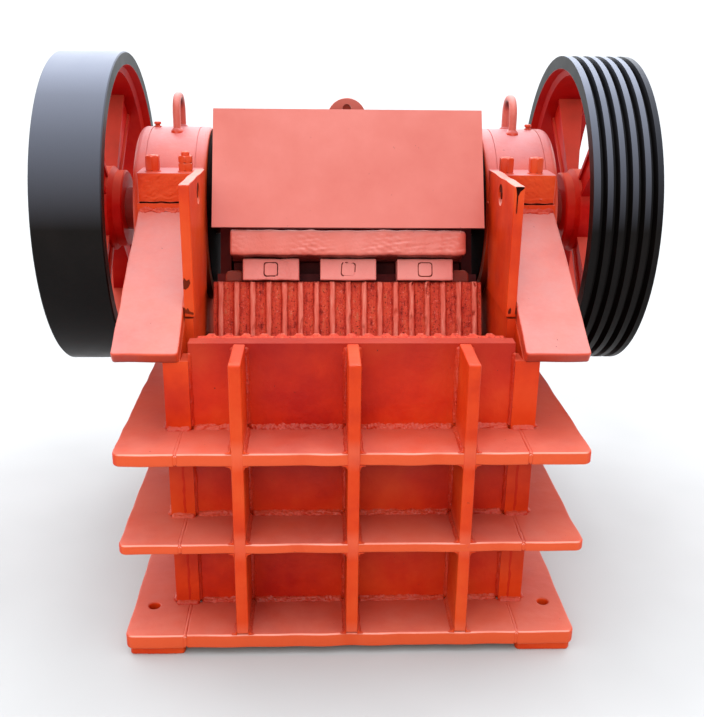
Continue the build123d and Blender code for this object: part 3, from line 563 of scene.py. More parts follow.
def make_piece(name, grids, material, body="frame", sharp=40.0, values=None):
    """One mesh from grids (points, close_rows, close_cols): open rows get an end cap where the columns close."""
    corners, faces, sizes, base = [], [], [], 0
    for points, close_rows, close_cols in grids:
        rows, cols = points.shape[:2]
        flat = points.reshape(-1, 3)
        quads = grid_faces(rows, cols, close_rows, close_cols)
        out = signed_volume(flat, quads) >= 0
        quads = quads if out else quads[:, ::-1]
        corners.append(flat)
        faces.append((quads + base).ravel())
        sizes.append(np.full(len(quads), 4))
        if close_cols and not close_rows:
            first, last = np.arange(cols), np.arange(cols)[::-1] + (rows - 1) * cols
            for ring in (first, last) if out else (first[::-1], last[::-1]):
                faces.append(ring + base)
                sizes.append(np.array([cols]))
        base += len(flat)
    corners, faces, sizes = np.concatenate(corners), np.concatenate(faces), np.concatenate(sizes)
    mesh = bpy.data.meshes.new(name)
    mesh.vertices.add(len(corners))
    mesh.vertices.foreach_set("co", metres(corners).astype(np.float32).ravel())
    mesh.loops.add(len(faces))
    mesh.loops.foreach_set("vertex_index", faces.astype(np.int32))
    mesh.polygons.add(len(sizes))
    mesh.polygons.foreach_set("loop_start", np.concatenate([[0], np.cumsum(sizes)[:-1]]).astype(np.int32))
    mesh.update(calc_edges=True)
    mesh.validate()
    if values is not None:
        mesh.attributes.new("crest", "FLOAT", "POINT").data.foreach_set("value", values.astype(np.float32).ravel())
    return dress(name, mesh, material, body, sharp)


# %% [markdown]
# Nothing on this machine is quite true: edges wander, beads swell and castings are lumpy. All of it comes from
# one smooth random value, a sum of sines in random directions. It is worked out from the place of a point, so it
# has no seam, and a seed makes it the same in every run.

# %% Unevenness
def rough(size, *coordinates, seed=1, waves=7):
    """Smooth random value about -1 to 1: a sum of sines in random directions, with waves about size mm long."""
    dice = np.random.default_rng(seed)
    total = 0.0
    for _ in range(waves):
        way = dice.normal(size=len(coordinates))
        way /= np.linalg.norm(way)
        turns = 2 * math.pi / (size * dice.uniform(0.6, 1.6))
        total = total + np.sin(sum(w * c for w, c in zip(way, coordinates)) * turns + dice.uniform(0, 2 * math.pi))
    return total / math.sqrt(waves)


trial = rough(10, np.linspace(0, 500, 200), seed=1)
print("unevenness from", round(float(trial.min()), 2), "to", round(float(trial.max()), 2))

# %% [markdown]
# Weld beads. A fillet weld fills the corner between two plates, and its ripples are where the pool froze a
# few times a second. A sculpted or cloned bead would not fit every joint, so the bead is a surface: the
# corner of the joint is a line, the profile is a bulging quarter between the two plates, and the leg grows
# and shrinks with the ripples and with an unsteady hand.

# %% Weld beads
def arrays(*values):
    """Each value as an array of floats."""
    return [np.asarray(value, float) for value in values]


BULGE = 0.49  # 0 pulls the bead flat between its legs, 1 makes it a full quarter-round


def weld(start, end, face_a, face_b, leg=10.0, pitch=5.0, wild=0.12, seed=1):
    """Leg length times (cos, sin) between the plates along the joint: a quarter pulled flat that bulges a little."""
    start, end, face_a, face_b = arrays(start, end, face_a, face_b)
    long = float(np.linalg.norm(end - start))
    u = np.linspace(0, long, max(8, int(long / 2.0)))[:, None]
    t = np.linspace(0, math.pi / 2, 9)[None, :]
    chord = 1 / (np.cos(t) + np.sin(t))
    ripple = 0.05 * np.sin(2 * math.pi * (u / pitch + 0.25 * np.cos(2 * t - math.pi / 2)))
    slow = rough(30, u + 0 * t, 22 * t + 0 * u, seed=seed)
    quick = rough(8, u + 0 * t, 7 * t + 0 * u, seed=seed + 50)
    ends = np.clip(np.minimum(u, long - u) / (0.7 * leg), 0, 1) ** 0.5 * 0.75 + 0.25
    size = leg * (chord + (1 - chord) * BULGE) * (1 + ripple + (wild * slow + wild * 0.6 * quick)) * ends
    line = start + u[..., None] * ((end - start) / long)
    points = line + (size * np.cos(t))[..., None] * face_a + (size * np.sin(t))[..., None] * face_b
    root = line - 0.5 * (face_a + face_b)
    return np.concatenate([points, np.broadcast_to(root, (len(u), 1, 3))], 1), False, True


trial = weld((0, 0, 0), (100, 0, 0), (0, -1, 0), (0, 0, 1))[0]
print("a bead of 100 mm has", trial.shape[0], "rings of", trial.shape[1], "points")

# %% [markdown]
# The front is a grid of ribs and flanges, and every corner of it is welded: along each flange between the ribs,
# along each rib on each flange, and up each rib. The bottom flange lies low, so it has no beads under it.

# %% Welds of the front grid
COLUMN_IN, SIDE_OUT, COLUMN_Y, WALL_Y, WALL_TOP = 386.0, 445.0, 140.0, 151.0, 758.0
RIB_X, RIB_T = 266.0, 29.0
LEVELS = ((58.0, 38.0), (309.0, 26.0), (543.0, 32.0))
LOW = 100.0
UP, DOWN, FRONT, BACK, LEFT, RIGHT = (0, 0, 1), (0, 0, -1), (0, -1, 0), (0, 1, 0), (-1, 0, 0), (1, 0, 0)
half = RIB_T / 2
bays = [(-COLUMN_IN, -RIB_X - half), (-RIB_X + half, -half), (half, RIB_X - half), (RIB_X + half, COLUMN_IN)]
rib_sides = [(x + side * half, way) for x in (-RIB_X, 0.0, RIB_X) for side, way in ((-1, LEFT), (1, RIGHT))]

grid_welds, seed = [], 10
for top, thick in LEVELS:
    above, under = (top, UP, 0, 4.0, 0.15), (top - thick, DOWN, 30, 5.0, 0.12)
    faces = (above, under) if top > LOW else (above,)
    for x0, x1 in bays:
        seed += 1
        grid_welds += [weld((x0 + 4, WALL_Y, z), (x1 - 4, WALL_Y, z), FRONT, way, 10, pitch, wild, seed + more)
                       for z, way, more, pitch, wild in faces]
    for x, out in rib_sides:
        seed += 1
        grid_welds += [weld((x, 2.5, z), (x, WALL_Y - 4, z), out, way, 8, wild=0.1, seed=seed + more)
                       for z, way, more, *_ in faces]
for low, high in ((58, 283), (309, 511), (543, WALL_TOP)):  # from one flange's top to the next one's underside
    for x, out in rib_sides:
        seed += 1
        grid_welds.append(weld((x, WALL_Y, low + 8), (x, WALL_Y, high - 8), out, FRONT, 8, seed=seed))
make_piece("front_grid_welds", grid_welds, weld_enamel, sharp=60)

# %% [markdown]
# At the front, where a rib and a flange cross, the corner isn't sharp: a wider filler of weld was ground round.
# It is a hollow quarter-round that grows towards the front edge, so its size is a function of the depth.

# %% Corner fillers of the front grid
def corner_fill(x, z, way_x, way_z, size=14.0, deep=26.0):
    """Hollow quarter-round that rounds a corner of the grid: size grows to the front as a half cosine."""
    y = np.array([2.2, 3.0, 5.0, 9.0, 14.0, 20.0, deep])[:, None]
    leg = size * (0.5 + 0.5 * np.cos(math.pi * (y - 5) / (deep - 5)).clip(-1, 1)) * 0.92 + size * 0.08
    leg = np.where(y < 5, size - (5 - y) * 0.9, leg)
    t = np.linspace(0, math.pi / 2, 8)[None, :]
    px, pz = x + way_x * leg * (1 - np.sin(t)), z + way_z * leg * (1 - np.cos(t))
    arc = np.stack([px, np.broadcast_to(y, px.shape), pz], -1)
    root = np.stack([np.full_like(y, x - way_x), y, np.full_like(y, z - way_z)], -1)
    return np.concatenate([arc, root], 1), False, True


fills = []
for top, thick in LEVELS:
    for x, (side, _, _) in rib_sides:
        fills.append(corner_fill(x, top, side, 1))
        if top > LOW:
            fills.append(corner_fill(x, top - thick, side, -1))
make_piece("front_grid_corner_fills", fills, plate_enamel, sharp=70)

# %% [markdown]
# Plates cut by torch. The real ones have edges that wander by a millimetre or two, with fine drag lines, under
# enamel thick enough to round them. A bevel on a box would be too true, so two things are worked out first: the
# outline as close points with rounded corners, and the profile of the cut edge, flat-round-flat-round-flat.

# %% Outline and cut edge
def dense_outline(points, radii, step=5.0):
    """Closed loop about step mm apart: each corner is an arc of its radius, each side is divided evenly."""
    points = np.asarray(points, float)
    before, after = np.roll(points, 1, 0), np.roll(points, -1, 0)
    loop = []
    for p, a, b, r in zip(points, before, after, radii):
        ua, ub = (a - p) / np.linalg.norm(a - p), (b - p) / np.linalg.norm(b - p)
        bend = math.acos(np.clip(np.dot(ua, ub), -1, 1)) / 2
        away = r / math.tan(bend)
        centre = p + (ua + ub) / np.linalg.norm(ua + ub) * r / math.sin(bend)
        v0, v1 = p + ua * away - centre, p + ub * away - centre
        turn = math.pi - 2 * bend
        t = np.linspace(0, 1, max(3, int(turn * r / 3)))[:, None]
        loop.append(centre + (np.sin((1 - t) * turn) * v0 + np.sin(t * turn) * v1) / math.sin(turn))
    sides = []
    for i, arc in enumerate(loop):
        nxt = loop[(i + 1) % len(loop)][0]
        n = max(2, int(np.linalg.norm(nxt - arc[-1]) / step))
        sides += [arc, arc[-1] + (nxt - arc[-1]) * np.linspace(0, 1, n + 1)[1:-1, None]]
    return np.concatenate(sides)


def cut_profile(thick, edge):
    """(Inward offset, depth) from the top face over a rounded edge, down the cut and back under the other face."""
    turn = np.linspace(0, math.pi / 2, 5)
    high = np.stack([np.r_[-edge * 1.2, edge * (np.sin(turn) - 1)], np.r_[0, edge * (np.cos(turn) - 1)]], 1)
    middle = np.stack([np.zeros(3), -edge - (thick - 2 * edge) * np.array([0.25, 0.5, 0.75])], 1)
    return np.concatenate([high, middle, (high * (1, -1) - (0, thick))[::-1]])


print("points round a square of 100 mm:", len(dense_outline([(0, 0), (100, 0), (100, 100), (0, 100)], [10] * 4)))

# %% [markdown]
# The profile is then carried along the outline, and the outline itself is pushed inwards a little by smooth
# noise. A grid can't have holes, so both flat sides are filled with triangles between the outline and any holes.

# %% Torch-cut plates
def plate(name, outline, thick, origin, across, along, material, holes=(), radii=None, edge=3.0, wander=1.2,
          drag=0.35, body="frame", seed=1):
    """Rim points = outline + inward offset of the cut profile - noise; then both sides are filled."""
    origin, across, along = arrays(origin, across, along)
    normal = np.cross(across, along)
    profile = cut_profile(thick, edge)
    loops = [dense_outline(outline, np.maximum(radii or [0] * len(outline), edge * 1.3))]
    angle = np.linspace(0, 2 * math.pi, 25)[:-1]
    loops += [np.stack([x + r * np.cos(angle), y - r * np.sin(angle)], 1) for x, y, r in holes]
    maker = bmesh.new()
    for number, loop in enumerate(loops):
        nxt = np.roll(loop, -1, 0)
        along_loop = nxt - np.roll(loop, 1, 0)
        away = np.stack([along_loop[:, 1], -along_loop[:, 0]], 1) / np.linalg.norm(along_loop, axis=1)[:, None]
        if number == 0 and (loop[:, 0] * nxt[:, 1] - loop[:, 1] * nxt[:, 0]).sum() < 0:
            away = -away
        p, q = loop[:, 0][:, None], loop[:, 1][:, None]
        wave = wander * (0.5 + 0.5 * rough(130, p, q, seed=seed)) * (number == 0)
        line = np.cumsum(np.linalg.norm(nxt - loop, axis=1))[:, None]
        fine = drag * (0.6 + 0.5 * rough(9, line + 0.35 * profile[None, :, 1], line * 0.1, seed=seed + 3))
        edge_only = np.clip((profile[None, :, 0] + edge) / edge, 0, 1)
        offset = profile[None, :, 0] - wave - fine * edge_only
        flat = loop[:, None, :] + away[:, None, :] * offset[..., None]
        space = origin + flat[..., :1] * across + flat[..., 1:] * along + profile[None, :, 1:] * normal
        verts = [maker.verts.new(c) for c in metres(space.reshape(-1, 3))]
        for corners in grid_faces(*space.shape[:2], True, False):
            maker.faces.new([verts[k] for k in corners])
    maker.edges.ensure_lookup_table()
    rims = [e for e in maker.edges if e.is_boundary]
    n = Vector(normal)
    level = [e.verts[0].co.dot(n) for e in rims]
    middle_level = (max(level) + min(level)) / 2
    for side in (True, False):
        chosen = [e for e, h in zip(rims, level) if (h > middle_level) == side]
        bmesh.ops.triangle_fill(maker, use_beauty=True, edges=chosen, normal=n if side else -n)
    bmesh.ops.recalc_face_normals(maker, faces=maker.faces)
    mesh = bpy.data.meshes.new(name)
    maker.to_mesh(mesh)
    maker.free()
    return dress(name, mesh, material, body, 50)


# %% [markdown]
# The flanges go right round the frame at three heights. Each cross plate runs behind the ribs, and the long
# side plates have rounded outer corners. The bottom ones stand on pads and have the anchor holes.

# %% Flanges
SEAM_X, FLANGE_X, REAR_Y, REAR_WALL_BACK, GAP = 407.0, 553.0, 1300.0, 1200.0, 0.4
ANCHOR_X, ANCHOR_R, ANCHOR_YS = 500.0, 14.0, (130.0, 1170.0)
SIDES = ((-1, "left"), (1, "right"))


def mirrored(points):
    """An outline on the other side of the machine, run round the same way."""
    return [(-x, y) for x, y in points][::-1]


near, far = SEAM_X - GAP, SEAM_X + GAP
for (top, thick), level in zip(LEVELS, ("base", "middle", "upper")):
    lying, own = ((0, 0, top), RIGHT, BACK), int(top)
    outline = [(-near, 1.5), (near, 1.5), (near, COLUMN_Y), (COLUMN_IN, COLUMN_Y), (COLUMN_IN, WALL_Y),
               (-COLUMN_IN, WALL_Y), (-COLUMN_IN, COLUMN_Y), (-near, COLUMN_Y)]
    cross = plate("cut_front_flange_" + level, outline, thick, *lying, flange_enamel, radii=[3, 3] + [1] * 6,
                  edge=4.5, wander=2.6, seed=own)
    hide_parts("front_flange_" + level)
    outline = [(-near, REAR_WALL_BACK), (near, REAR_WALL_BACK), (near, REAR_Y - 1), (-near, REAR_Y - 1)]
    rear = plate("cut_rear_flange_" + level, outline, thick, *lying, plate_enamel, radii=[1, 1, 3, 3], seed=own + 7)
    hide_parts("rear_flange_" + level)
    for side, word in SIDES:
        corners = [(far, 1), (FLANGE_X - 0.5, 1), (FLANGE_X - 0.5, REAR_Y - 1), (far, REAR_Y - 1),
                   (far, REAR_WALL_BACK), (SIDE_OUT, REAR_WALL_BACK), (SIDE_OUT, COLUMN_Y), (far, COLUMN_Y)]
        arcs, anchors = [3, 22, 22, 3, 1, 1, 1, 1], [(side * ANCHOR_X, y, ANCHOR_R) for y in ANCHOR_YS]
        if side < 0:
            corners, arcs = mirrored(corners), arcs[::-1]
        long = plate("cut_side_flange_%s_%s" % (level, word), corners, thick, *lying, flange_enamel, radii=arcs,
                     edge=4.5, wander=2.2, seed=own + 20 + side, holes=anchors if level == "base" else ())
        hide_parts("side_flange_%s_%s" % (level, word))
        if level == "base":
            for y0, y1, end, anchor in ((8, 240, "front", anchors[0]), (1060, 1292, "rear", anchors[1])):
                pad = [(408, y0), (545, y0), (545, y1), (408, y1)]
                plate("foot_pad_%s_%s" % (end, word), pad if side > 0 else mirrored(pad), 20.0, (0, 0, 20.0), RIGHT,
                      BACK, torch_orange, [anchor], [12] * 4, 2.5, 1.5, 1.2, seed=int(y0) + side)

# %% [markdown]
# Three ribs stand in front of the wall from the bottom flange to the mouth. Each is one upright torch-cut plate,
# so it is the same function on another pair of directions.

# %% Front ribs
for x, word in ((-RIB_X, "left"), (0.0, "centre"), (RIB_X, "right")):
    outline = [(0.8, 58), (WALL_Y, 58), (WALL_Y, WALL_TOP), (0.8, WALL_TOP)]
    rib = plate("cut_front_rib_" + word, outline, RIB_T - 0.4, (x + half - 0.2, 0, 0), BACK, UP, rib_enamel,
                radii=[1, 1, 1, 6], edge=4.0, wander=1.6, seed=int(x) + 400)
    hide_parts("front_rib_" + word)

# %% [markdown]
# The sloping arms carry the bearings, and the guard plates stand beside the mouth. Both are cut from the same
# thick plate, so the same function makes them, on their own pair of directions.

# %% Sloping arms and guard plates
RISE = 0.544
SLOPE = math.atan(RISE)
UPHILL, OFF_SLOPE = arrays((0, math.cos(SLOPE), math.sin(SLOPE)), (0, -math.sin(SLOPE), math.cos(SLOPE)))
ARM_Y0, ARM_Y1, ARM_X0, ARM_X1 = 118.0, 581.0, 405.0, 564.0
GUARD = [(252.5, 789), (520, 789), (576, 985), (576, 1103), (252.5, 1112)]


def slope_z(y):
    """Height of the arm's upper face at depth y."""
    return 808.0 + (y - 245.0) * RISE


arm_long = (ARM_Y1 - ARM_Y0) / math.cos(SLOPE)
for side, word in SIDES:
    x0, x1 = sorted((side * (ARM_X0 + 0.4), side * (ARM_X1 - 0.4)))
    arm = plate("cut_sloped_flange_" + word, [(x0, 3), (x1, 3), (x1, arm_long), (x0, arm_long)], 30.0,
                (0, ARM_Y0, slope_z(ARM_Y0)), RIGHT, UPHILL, arm_enamel, radii=[10, 10, 1, 1], edge=4.0, wander=1.8,
                seed=70 + side)
    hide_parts("sloped_flange_" + word)
    face = -380.2 if side < 0 else 404.8
    upright = plate("cut_guard_plate_" + word, GUARD, 24.6, (face, 0, 0), BACK, UP, guard_enamel,
                    [(422.0, 1063.0, 26.0)], [4, 4, 4, 5, 5], 2.6, 1.6, seed=90 + side)
    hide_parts("guard_plate_" + word)

# %% [markdown]
# The ledge bar and the three wedge blocks under it are torch-cut lumps with no true face. Each is a rounded
# rectangle carried across the machine, and the noise goes only inwards so that it stays in its solid. They sit
# on the leaning jaw, so their points are given along its face and out from it.

# %% A torch-cut lump on the jaw
LEAN = math.radians(21.5)
FACE_LONG, PLATE_T, LIP = 540.0, 60.0, (0, 500, 818)
ALONG_JAW, OFF_JAW = arrays((0, math.sin(LEAN), math.cos(LEAN)), (0, -math.cos(LEAN), math.sin(LEAN)))
JAW_FOOT = LIP - FACE_LONG * ALONG_JAW - PLATE_T * OFF_JAW


def on_jaw(x, along, out):
    """Point on the swing jaw: along its face from the foot, and out from the casting."""
    outer = np.multiply.outer
    return JAW_FOOT + outer(x, RIGHT) + outer(along, ALONG_JAW) + outer(out, OFF_JAW)


def cut_lump(a0, a1, out, x0, x1, corner, rugged, end, seed):
    """Rounded rectangle in (along, out) carried from x0 to x1, shrunk at its ends as a quarter round, less noise."""
    sides = dense_outline([(a0, 0), (a1, 0), (a1, out), (a0, out)], [1.5, 1.5, corner, corner], step=2.5)
    middle = sides.mean(0)
    x = np.r_[x0, x0 + end[0] * 0.3, np.linspace(x0 + end[0], x1 - end[1], int((x1 - x0) / 2.5)), x1 - end[1] * 0.3, x1]
    near_end = np.clip(np.minimum((x - x0) / end[0], (x1 - x) / end[1]), 0, 1)
    shrink = np.sqrt(1 - (1 - near_end) ** 2)
    away = (sides - middle) / np.linalg.norm(sides - middle, axis=1)[:, None]
    gx, ga, go = x[:, None], sides[None, :, 0], sides[None, :, 1]
    patch = np.clip(0.35 + 0.8 * rough(150, gx, 0.4 * ga, seed=seed + 2), 0.1, 1)
    dents = rugged * (0.5 + 0.5 * rough(60, gx, 0.4 * ga, 0.4 * go, seed=seed))
    dents = dents + 0.32 * rugged * patch * (1 + rough(9, gx, ga, go, seed=seed + 1, waves=11))
    dents = dents * np.clip(go / 10, 0.15, 1) + (1 - shrink[:, None]) * np.array(end).mean()
    flat = sides[None] - away[None] * dents[..., None]
    return on_jaw(np.broadcast_to(gx, dents.shape), flat[..., 0], flat[..., 1]), False, True


print("foot of the jaw at", JAW_FOOT.round(1), "mm")

# %% [markdown]
# The ledge bar runs across the jaw, and the blocks under it wedge the toothed plate fast. Their square bolt heads
# sit in rusty pockets, and the middle one was tightened a little askew. A head is small and flat, so it is a
# torch-cut plate too, and its pocket is a thin dark plate a hair larger.

# %% Ledge bar and wedge blocks
BLOCK_FOOT, BLOCK_TOP, BAR_TOP, BOLT_UP = 540.6, 601.0, 673.0, 570.6
BAR_OUT, BAR_HALF, BLOCK_OUT, BLOCK_HALF = 99.5, 313.5, 61.7, 75.2
lump = cut_lump(BLOCK_TOP + 0.4, BAR_TOP - 0.5, BAR_OUT, -BAR_HALF, BAR_HALF, 9.0, 2.6, (5.0, 16.0), 5)
bar = make_piece("torch_cut_ledge_bar", [lump], torch_enamel, "jaw", 80)
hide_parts("ledge_bar")
for x, word, askew in ((-207.0, "left", 0.0), (0.0, "centre", -0.07), (207.0, "right", 0.0)):
    lump = cut_lump(BLOCK_FOOT, BLOCK_TOP - 0.4, BLOCK_OUT, x - BLOCK_HALF, x + BLOCK_HALF, 4.0, 1.6, (3.0, 3.0),
                    int(x) + 300)
    block = make_piece("torch_cut_wedge_block_" + word, [lump], block_enamel, "jaw", 80)
    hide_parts("wedge_block_" + word)
    across, along = np.array(RIGHT) + askew * ALONG_JAW, ALONG_JAW - askew * np.array(RIGHT)
    across, along = across / np.linalg.norm(across), along / np.linalg.norm(along)
    for kind, wide, thick, out, edge, finish in (("bolt_pocket_", 20.0, 3.0, 61.2, 0.3, rust_and_shadow_brown),
                                                 ("square_bolt_head_", 17.8, 8.0, 62.6, 1.6, block_enamel)):
        plate(kind + word, [(-wide, -wide), (wide, -wide), (wide, wide), (-wide, wide)], thick,
              on_jaw(x, BOLT_UP, out), across, along, finish, radii=[7] * 4, edge=edge, wander=1.0, body="jaw",
              seed=int(x) + 301)

# %% [markdown]
# The moving jaw plate. Its ridges stand every 42.6 mm, and the casting is coarse, chipped along the top and
# worn. The front is a height field over the plate, and each point keeps its height for the two-colour finish.

# %% Moving jaw plate
RIDGE_PITCH, RIDGE_D, JAW_HALF = 42.6, 18.0, 362.0
RIDGE_FOOT, RIDGE_FLANK = 12.0, 7.4  # half the width of a ridge at its foot, and how much of it is flank
x = np.linspace(-JAW_HALF + 0.5, JAW_HALF - 0.5, 341)[:, None]
along = np.r_[0.5, 2.0, np.linspace(5, FACE_LONG - 12, 90), np.linspace(FACE_LONG - 10, FACE_LONG - 0.6, 8)][None, :]
from_crest = np.abs((x + RIDGE_PITCH / 2) % RIDGE_PITCH - RIDGE_PITCH / 2) + 0.4 * rough(60, x, along, seed=8)
rise = np.clip((RIDGE_FOOT - from_crest) / RIDGE_FLANK, 0, 1)
rise = rise * rise * (3 - 2 * rise)
to_top = FACE_LONG - along
chip = np.clip(1 - to_top / (7 + 6 * rough(26, x, along * 0.3, seed=9)), 0, 1)
chip = chip * (0.4 + 0.6 * (rough(31, x, along * 0.2, seed=10) > 0.1))
out = PLATE_T - RIDGE_D + RIDGE_D * rise * (1 - 0.75 * chip) - 0.6
out = out - 0.55 * (1 + rough(9, x, along, seed=11, waves=11)) * (1 - 0.5 * rise)
out = out - 1.5 * np.clip(1 - to_top / 3.0, 0, 1)
front = on_jaw(np.broadcast_to(x, out.shape), np.broadcast_to(along, out.shape), np.minimum(out, PLATE_T - 0.3))
back = [on_jaw(x[:, 0], np.full(len(x), up_plate), np.full(len(x), 0.4)) for up_plate in (FACE_LONG - 0.5, 0.5)]
crest = np.concatenate([rise * (1 - 0.2 * chip), np.zeros((len(x), 2))], 1)
grid = np.concatenate([front, np.stack(back, 1)], 1), False, True
toothed = make_piece("cast_moving_jaw_plate", [grid], moving_jaw_steel, "jaw", 75, crest)
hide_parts("moving_jaw_plate")

# %% [markdown]
# Nuts, plugs and the loops' collars are turned shapes, so each is a profile of radius and height taken round an
# axis. A nut's radius follows its hexagon, and its top is chamfered by capping that radius with a cone.

# %% Turned parts
def turned(profile, at, sides=48, flats=0.0, lumpy=0.0, seed=1):
    """Profile (radius, height) round the upright axis: a hexagon's radius = flats / cos(angle to the nearest flat)."""
    profile = np.asarray(profile, float)
    angle = np.linspace(0, 2 * math.pi, sides, endpoint=False)[None, :]
    radius = profile[:, :1] + 0 * angle
    if flats:
        radius = np.minimum(radius, flats / np.cos((angle + math.pi / 6) % (math.pi / 3) - math.pi / 6))
    dents = rough(2.0, 2 * np.cos(angle) + 0 * radius, 2 * np.sin(angle) + profile[:, 1:] * 0.2, seed=seed)
    radius = radius * (1 + lumpy * dents)
    points = np.stack([radius * np.cos(angle), radius * np.sin(angle), profile[:, 1:] + 0 * angle], -1)
    return points + np.asarray(at, float), False, True


FLATS = 17.5


def nut(height):
    """Profile of a nut: its corners are cut back by a cone at both ends."""
    wide = FLATS / math.cos(math.pi / 6)
    return [(FLATS, 0), (wide, 2.5), (wide + 1, height - 2.5), (FLATS - 0.5, height), (FLATS - 1.5, height)]


print("a nut is", 2 * FLATS, "mm across flats")

# %% [markdown]
# Two bolts hold each side of a bearing cap to its seat, front and rear. Three show one tall nut each from the
# front, and the left inner one a nut and a lock nut with the thread past them. A grease plug stands on top of
# each housing, and the lifting loop's legs are welded in with a collar.

# %% Bolts on the bearing housings
# Each bolt is (nuts as (height, distance above the lug), end of the thread as (radius, height)).
SINGLE = ([(39.4, 4.0)], [(10.8, 0), (10.8, 2), (9, 3)])
DOUBLE = ([(21.0, 4.0), (18.0, 25.4)], [(10.8, 0), (10.8, 10), (9, 12)])
WASHER = [(22, 0), (20.5, 2), (20.5, 3.4), (19, 4)]
PLUG = [(11, 0), (11, 4), (7, 5), (7, 9), (10, 10), (10, 15), (8, 16.5)]
COLLAR = [(19, -7), (18, 0), (15.5, 4), (12.4, 7.5), (10.9, 9)]
HOUSING_R, SEAT_Z, LUG_TOP, BOLT_Y, LUG_Y = 239.0, 1009.0, 1089.0, 612.0, 583.9
LOOP_X, LOOP_HALF = 483, 55

for side, word, plug_x, pair in ((-1, "left", -547.0, ((-522.0, SINGLE), (-434.5, DOUBLE))),
                                 (1, "right", 540.0, ((429.5, SINGLE), (510.0, SINGLE)))):
    parts = []
    for x, (nuts, thread) in pair:
        for y in (BOLT_Y, 2 * SHAFT_Y - BOLT_Y):
            parts += [turned(nut(tall), (x, y, LUG_TOP + low), flats=FLATS) for tall, low in nuts]
            parts += [turned(WASHER, (x, y, LUG_TOP)), turned(thread, (x, y, LUG_TOP + 42))]
    make_piece("housing_bolts_" + word, parts, bolt_enamel, sharp=32)
    plug = turned(PLUG, (plug_x, SHAFT_Y, SHAFT_Z + HOUSING_R - 2))
    make_piece("grease_plug_" + word, [plug], bolt_enamel, sharp=32)
    foot = SHAFT_Z + math.sqrt(HOUSING_R ** 2 - LOOP_HALF ** 2)
    collars = [turned(COLLAR, (side * LOOP_X, SHAFT_Y + dy, foot), 40, lumpy=0.06, seed=dy + 90)
               for dy in (-LOOP_HALF, LOOP_HALF)]
    make_piece("loop_welds_" + word, collars, cast_enamel, sharp=60)

# %% [markdown]
# The lugs were hammered, so their faces are a height field: a field of dents with one wandering crease. Worn
# lumps of the casting stand beside the wedge blocks, and a dark plate half fills each guard's hole as painted
# shadow, which makes it look like a teardrop. Both are small plates with a soft edge.

# %% Lug faces, shoulders and painted shadow in the holes
def rough_face(x0, x1, z0, z1, y, way, deep=1.5, seed=1):
    """Hammered face: y of the plate plus noise, with one wandering crease, closed by its own back edge."""
    x = np.linspace(x0, x1, int(abs(x1 - x0) / 2.2))[:, None]
    z = np.linspace(z0, z1, int((z1 - z0) / 2.2))[None, :]
    bumps = 0.5 + 0.3 * rough(22, x, z, seed=seed) + 0.3 * rough(9, x, z, seed=seed + 1, waves=11)
    wander = 4 * rough(50, x, seed=seed + 2)
    crease = np.exp(-((z - z0 - 9 - wander) / 2.2) ** 2) - np.exp(-((z - z0 - 13 - wander) / 2.5) ** 2)
    rim = np.clip(np.minimum(np.minimum(z - z0, z1 - z), np.minimum(abs(x - x0), abs(x1 - x))) / 4, 0, 1)
    front = y + way * deep * (bumps.clip(0, 1.3) + 0.7 * crease).clip(0, 1.8) * rim
    points = np.stack([x + 0 * z, front, z + 0 * x], -1)
    back = [np.stack([x[:, 0], np.full(len(x), y - way * 0.6), np.full(len(x), height)], -1) for height in (z1, z0)]
    return np.concatenate([points, np.stack(back, 1)], 1), False, True


LUG_FACES = ((LUG_Y, -1), (2 * SHAFT_Y - LUG_Y, 1))
LUG_IN, LUG_OUT, SHOULDER_X = 399, 560, 310.5
SHOULDER = [(-26.5, 541), (26.5, 541), (26.5, 579), (-26.5, 579)]
HOLE_SHADE = [(399, 1066), (403, 1078), (414, 1087), (430, 1087), (441, 1078), (445, 1066), (432, 1071), (426, 1052),
             (419, 1052), (414, 1071)]
for side, word in SIDES:
    faces = [rough_face(side * (LUG_IN + 1), side * (LUG_OUT - 1), SEAT_Z + 6, LUG_TOP - 1.5, y, way,
                        seed=side + 21 + way) for y, way in LUG_FACES]
    make_piece("hammered_lug_faces_" + word, faces, torch_orange, sharp=60)
    outline, arcs = [(side * SHOULDER_X + x, along) for x, along in SHOULDER], [19, 15] if side > 0 else [15, 19]
    plate("cast_shoulder_" + word, outline, 38.0, JAW_FOOT + OFF_JAW * 1.8, RIGHT, ALONG_JAW, shoulder_enamel,
          radii=[2, 2] + arcs, edge=5.0, wander=2.5, body="jaw", seed=side + 12)
    # Painted shadow: a dark plate in the top of each guard's hole.
    plate("painted_shadow_in_guard_hole_" + word, HOLE_SHADE, 14.0, (-382 if side < 0 else 396, 0, 0), BACK, UP, rust_and_shadow_brown,
          radii=[1.5] * 10, edge=0.8, wander=0.5, seed=side + 5)

# %% [markdown]
# The dark line under each bearing lug is the joint between the cap and its seat, filled with old grease. It is
# a narrow strip with a wandering width, a hair proud of the lug, because a line that is only painted would have
# no body.

# %% Joint lines
def grime_line(start, end, wide_way, out_way, wide, proud, seed):
    """Strip from start to end: a flat half-ellipse profile whose width wanders along the line."""
    start, end, wide_way, out_way = arrays(start, end, wide_way, out_way)
    long = np.linalg.norm(end - start)
    u = np.linspace(0, 1, max(6, int(long / 4)))[:, None]
    t = np.linspace(0, math.pi, 7)[None, :]
    width = wide / 2 * (1 + 0.2 * rough(40, u * long, seed=seed)).clip(0.5) * np.clip(np.minimum(u, 1 - u) * 40, 0.2, 1)
    drift = 0.8 * rough(60, u * long, seed=seed + 5)
    across = (width * np.cos(t) + drift)[..., None] * wide_way
    return start + u[..., None] * (end - start) + across + (proud * np.sin(t) - 0.05)[..., None] * out_way, False, True


